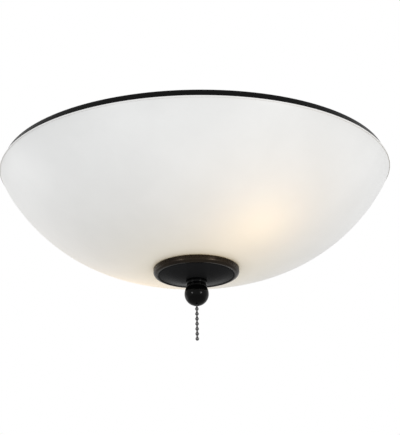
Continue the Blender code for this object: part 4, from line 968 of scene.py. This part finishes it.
def make_lampholder(number):
    place = lamp_axis(number)
    node = f"lampholder_{number}"
    back, mouth = heights(node, place)
    floor, screw_floor = back + HOLDER_FLOOR, back + HOLDER_SCREW_DEPTH
    body = rounded(
        [
            (0, floor, 0),
            (HOLDER_BORE, floor, ROUND),
            (HOLDER_BORE, mouth, LIP),
            (HOLDER_MOUTH, mouth, HOLDER_EDGE),
            (HOLDER_MOUTH, back + HOLDER_STEP_UP, HOLDER_STEP_BENDS[0]),
            (HOLDER_RADIUS, back + HOLDER_STEP_LOW, HOLDER_STEP_BENDS[1]),
            (HOLDER_RADIUS, back, HOLDER_EDGE),
            (HOLDER_SCREW_HOLE, back, EDGE),
            (HOLDER_SCREW_HOLE, screw_floor, 0),
            (0, screw_floor, 0),
        ],
        5,
    )
    holder = lathe(f"{node}_fine", body, 72, place)
    upward = Matrix.Rotation(-math.pi / 2, 4, "Y")
    cutters = []
    for side in (1, -1):
        hole = place @ at(0, side * TERMINAL_Y, back + TERMINAL_UP) @ upward
        cutters.append(rod(TERMINAL_HOLE, TERMINAL_FLOOR, HOLDER_MOUTH + PAST, hole, 24))
    dress(soften(carve(holder, cutters), *HOLDER_BEVEL), node)

    node = f"screw_shell_{number}"
    low, high, _, out = extent(node, place)
    wall = SHELL_WALL
    crest, flange = out - FILM, out - SHELL_FLANGE
    fade = LAMP_PITCH * SHELL_FADE_SHARE
    outer = threaded(low + SHELL_THREAD_LOW, high - ROUND, crest, LAMP_PITCH, 12, fade)
    inner = [(r - wall, z, amount) for r, z, amount in reversed(outer)]
    profile = [(crest, high)] + outer + [(crest, low + EDGE), (crest - EDGE, low)]
    profile += [(flange, low), (flange, low + wall), (crest - 3 * EDGE, low + wall)]
    profile += inner + [(crest - wall, high)]
    cut = thread(LAMP_PITCH, SHELL_DEPTH)
    turn_piece(node, profile, 72, place, shape=cut, sharp=TURNED_SHARP_DEG)

    node = f"socket_contact_{number}"
    dress(soften(copy_of(node), *CONTACT_BEVEL), node)


def make_bulb(number):
    place = lamp_axis(number)
    node = f"bulb_{number}_tip"
    low, high = heights(node, place)
    knots = [(r, low + up) for r, up in TIP_CROWN]
    knots += [(TIP_RADIUS, high - SOFT), (TIP_RADIUS, high)]
    turn_piece(node, smoothed(knots, 4) + [(0, high)], 40, place)

    node = f"bulb_{number}_insulator"
    low, high = heights(node, place)
    cone = [(0, low, 0), (INSULATOR_TIP, low, ROUND), (INSULATOR_RADIUS, high - SOFT, EDGE)]
    cone += [(INSULATOR_TOP, high, HAIR), (0, high, 0)]
    turn_piece(node, rounded(cone, 4), 48, place)

    node = f"bulb_{number}_base"
    low, high, _, out = extent(node, place)
    start, end = low + BASE_THREAD_LOW, high - BASE_THREAD_HIGH
    profile = [(out - inset, high - down) for inset, down in BASE_COLLAR]
    profile += threaded(start, end, out, LAMP_PITCH, 12, 0)
    profile += [(out - inset, low + up) for inset, up in BASE_FOOT]
    profile += [(out - BASE_WALL, end), (out - BASE_WALL, high)]
    cut = thread(LAMP_PITCH, LAMP_DEPTH)
    turn_piece(node, profile, 72, place, shape=cut, sharp=TURNED_SHARP_DEG)
    step, neck = high + EDGE, out - BASE_WALL - EDGE

    node = f"bulb_{number}_housing"
    low, high, _, widest = extent(node, place)
    length = high - step
    knots = [(out, step + HAIR), (out + HOUSING_FIRST[0], step + HOUSING_FIRST[1])]
    knots += [(out + wider, step + length * share) for wider, share in HOUSING_FLARE]
    knots += [(widest, step + length * HOUSING_WIDE_SHARE)]
    knots += [(widest - HAIR, high - EDGE), (widest - STEP, high)]
    body = [(0, high)] + smoothed(knots, 6)[::-1] + [(neck, step), (neck, low), (0, low)]
    turn_piece(node, body, 72, place)

    node = f"bulb_{number}_globe"
    low, high, _, out = extent(node, place)
    middle, inside = high - out, out - GLOBE_WALL
    outer_deg, inner_deg = (math.degrees(math.asin((low - middle) / r)) for r in (out, inside))
    outer = [(0, high)] + arc((0, middle), out, 90, outer_deg, 28)[1:]
    inner = arc((0, middle), inside, inner_deg, 90, 24)[:-1] + [(0, middle + inside)]
    turn_piece(node, outer + inner, 72, place)


def make_switch():
    for name, width in SWITCH_SOFTENED.items():
        node = f"switch_{name}"
        dress(soften(copy_of(node), width, 3), node)

    low, high, bore, flange = extent("switch_nipple")
    collar, inset = high - NIPPLE_COLLAR, flange - EDGE
    profile = [(bore, high), (inset, high)]
    profile += arc((inset, high - EDGE), EDGE, 80, 0, 2)
    profile += arc((inset, collar + EDGE), EDGE, 0, -80, 2)
    profile += [(NIPPLE_NECK, collar)]
    profile += threaded(low + EDGE, collar - EDGE, NIPPLE_NECK, STEM_PITCH, 7)
    profile += [(NIPPLE_NECK - STEM_TIP, low), (bore, low)]
    cut = thread(STEM_PITCH, STEM_DEPTH)
    turn_piece("switch_nipple", profile, 48, shape=cut, sharp=THREAD_SHARP_DEG)

    middle = Matrix.Translation(JOINTS["drum_turn"]["pos_m"])
    axle = middle @ LAMPS @ Matrix.Rotation(math.pi / 2, 4, "Y")
    low, high, bore, flange = extent("switch_drum", axle)
    corners = [(bore, high, SOFT), (flange, high, EDGE), (flange, DRUM_INSIDE, EDGE)]
    corners += [(DRUM_CORE, DRUM_INSIDE, STEP), (DRUM_CORE, -DRUM_INSIDE, STEP)]
    corners += [(flange, -DRUM_INSIDE, EDGE), (flange, low, EDGE), (bore, low, SOFT)]
    turn_piece("switch_drum", ring_of(corners, 3), 64, axle)

    low, high, _, radius = extent("switch_pin", axle)
    corners = [(0, high, 0), (radius, high, EDGE), (radius, low, EDGE), (0, low, 0)]
    turn_piece("switch_pin", rounded(corners, 3), 32, axle)

    low, high, _, out = extent("switch_spring", axle)
    coil_radius = out - SPRING_WIRE
    coil = []
    for index in range(SPRING_STEPS + 1):
        turn = math.tau * SPRING_TURNS * index / SPRING_STEPS
        along = low + SPRING_WIRE + (high - low - 2 * SPRING_WIRE) * index / SPRING_STEPS
        around = Vector((coil_radius * math.cos(turn), coil_radius * math.sin(turn), along))
        coil.append(axle @ around)
    dress(wire("switch_spring_fine", coil, SPRING_WIRE, 10), "switch_spring")


def make_connector(node, across):
    """A twist-on connector with fluted sides. Gives the height of its bore's end."""
    place = LAMPS @ at(0, across)
    low, high, _, mouth = extent(node, place)
    tip = CONNECTOR_TIP
    crown, run = tip - CONNECTOR_TIP_IN, high - low - GRIP_SHORTER
    bore_end = high - CONNECTOR_WALL * 3
    profile = [(0, high), (crown, high)]
    profile += arc((crown, high - CONNECTOR_CROWN), CONNECTOR_CROWN, 80, 0, 4)
    for index in range(GRIP_STEPS + 1):
        share = index / GRIP_STEPS
        fade = min(1.0, share * GRIP_FADE_IN, (1 - share) * GRIP_FADE_OUT)
        out = tip + (mouth - tip) * share * GRIP_SHARE
        profile.append((out, high - GRIP_TOP - run * share, max(fade, GRIP_LEAST)))
    profile += [(mouth - FILM, low + SKIRT_HIGH), (mouth, low + SKIRT_LOW)]
    profile += [(mouth, low + STEP), (mouth - EDGE, low), (mouth - CONNECTOR_WALL, low)]
    profile += [(tip - CONNECTOR_WALL, bore_end), (0, bore_end)]
    grip = flutes(FLUTES, FLUTE_DEPTH)
    turn_piece(node, profile, 96, place, shape=grip, sharp=SOFT_SHARP_DEG)
    return bore_end


def make_wiring():
    bore_ends = {node: make_connector(node, across) for node, across in CONNECTORS.items()}
    mouth_z = heights("neutral_connector", LAMPS)[0]
    along = heights("lampholder_1", lamp_axis(1))[0] + TERMINAL_UP
    holder_z = LAMP_Z + TERMINAL_FLOOR + EDGE
    cover_z = heights("switch_cover")[0]
    for node, start, connector, bundle_deg in (
        ("white_lead_1", (along, TERMINAL_Y, holder_z), "neutral_connector", 0),
        ("white_lead_2", (-along, TERMINAL_Y, holder_z), "neutral_connector", 180),
        ("black_lead_1", (along, -TERMINAL_Y, holder_z), "load_connector", -30),
        ("black_lead_2", (-along, -TERMINAL_Y, holder_z), "load_connector", 210),
        ("switch_load_lead", (0, SWITCH_LOAD_Y, cover_z), "load_connector", 90),
        ("switch_line_lead", (0, SWITCH_LINE_Y, cover_z), "line_connector", 90),
    ):
        bundle = math.radians(bundle_deg)
        x = LEAD_BUNDLE * math.cos(bundle)
        y = CONNECTORS[connector] + LEAD_BUNDLE * math.sin(bundle)
        a, d = Vector(start), Vector((x, y, mouth_z))
        straight = Vector((0, 0, LEAD_STRAIGHT))
        b, c = a + straight, d - straight
        points = []
        for index in range(LEAD_STEPS + 1):
            t = index / LEAD_STEPS
            s = 1 - t
            points.append(a * s**3 + b * 3 * s**2 * t + c * 3 * s * t**2 + d * t**3)
        points.append(Vector((x, y, bore_ends[connector] - EDGE)))
        dress(wire(f"{node}_fine", [LAMPS @ point for point in points], LEAD, 14), node)


make_pan()
make_bushing()
make_glass()
make_washers()
make_plate()
make_ball()
make_chain()
make_screws()
make_stem()
make_strap()
for lamp in (1, 2):
    make_lampholder(lamp)
    make_bulb(lamp)
make_switch()
make_wiring()

for node, obj in NODES.items():
    if not obj.hide_render:
        obj.data.materials.clear()
        obj.data.materials.append(LOOKS[SLOT_OF[node]])


# ---- Room, light and camera


def make_floor():
    made = bmesh.new()
    bmesh.ops.create_grid(made, x_segments=1, y_segments=1, size=FLOOR_SIZE)
    floor = from_bmesh("floor", made, at(0, 0, FLOOR_Z))
    look = Look("floor", Roughness=0.8)
    look.colour(look.noise(3, 2), (0.3, (0.90, 0.90, 0.89)), (0.7, (0.93, 0.93, 0.92)))
    floor.data.materials.append(look.material)


def make_world():
    """A white room that is dimmer as a light than where it is seen or mirrored."""
    world = bpy.data.worlds.new("room")
    bpy.context.scene.world = world
    world.use_nodes = True
    tree = Tree(world.node_tree)
    tree.tree.nodes.clear()
    path = tree.add("ShaderNodeLightPath", {})
    shown = tree.math("MAXIMUM", path["Is Glossy Ray"], path["Is Transmission Ray"])
    seen = tree.math("MAXIMUM", path["Is Camera Ray"], shown)
    strength = tree.level(seen, WORLD_LIGHT, 1.0, 0.0, 1.0)
    background = tree.add("ShaderNodeBackground", {"Color": (1, 1, 1, 1), "Strength": strength})
    tree.add("ShaderNodeOutputWorld", {"Surface": background["Background"]})


def make_lights():
    for name, spot, size, power in LIGHTS:
        data = bpy.data.lights.new(name, "AREA")
        data.shape = "SQUARE"
        data.size = size
        data.energy = power
        light = bpy.data.objects.new(name, data)
        light.location = spot
        light.rotation_mode = "QUATERNION"
        light.rotation_quaternion = (LIGHTS_AIM - Vector(spot)).to_track_quat("-Z", "Y")
        light.visible_camera = False
        bpy.context.scene.collection.objects.link(light)


def make_camera():
    data = bpy.data.cameras.new("camera")
    data.sensor_width = SENSOR
    data.lens = FOCAL_PIXELS * SENSOR / PIXELS_HIGH
    camera = bpy.data.objects.new("camera", data)
    tilt = math.radians(LOOK_UP_DEG)
    rim = Vector((0, 0, RIM_Z))
    back = Vector((0, -math.cos(tilt), -math.sin(tilt)))
    up = Vector((0, -math.sin(tilt), math.cos(tilt)))
    camera.location = rim + back * CAMERA_AWAY
    target = rim + Vector((AIM_RIGHT, 0, 0)) + up * AIM_UP
    turn = (target - camera.location).to_track_quat("-Z", "Y").to_matrix()
    turn = turn @ Matrix.Rotation(math.radians(ROLL_DEG), 3, "Z")
    camera.rotation_mode = "QUATERNION"
    camera.rotation_quaternion = turn.to_quaternion()
    bpy.context.scene.collection.objects.link(camera)
    bpy.context.scene.camera = camera


make_floor()
make_world()
make_lights()
make_camera()
bpy.context.scene.view_settings.view_transform = "Standard"
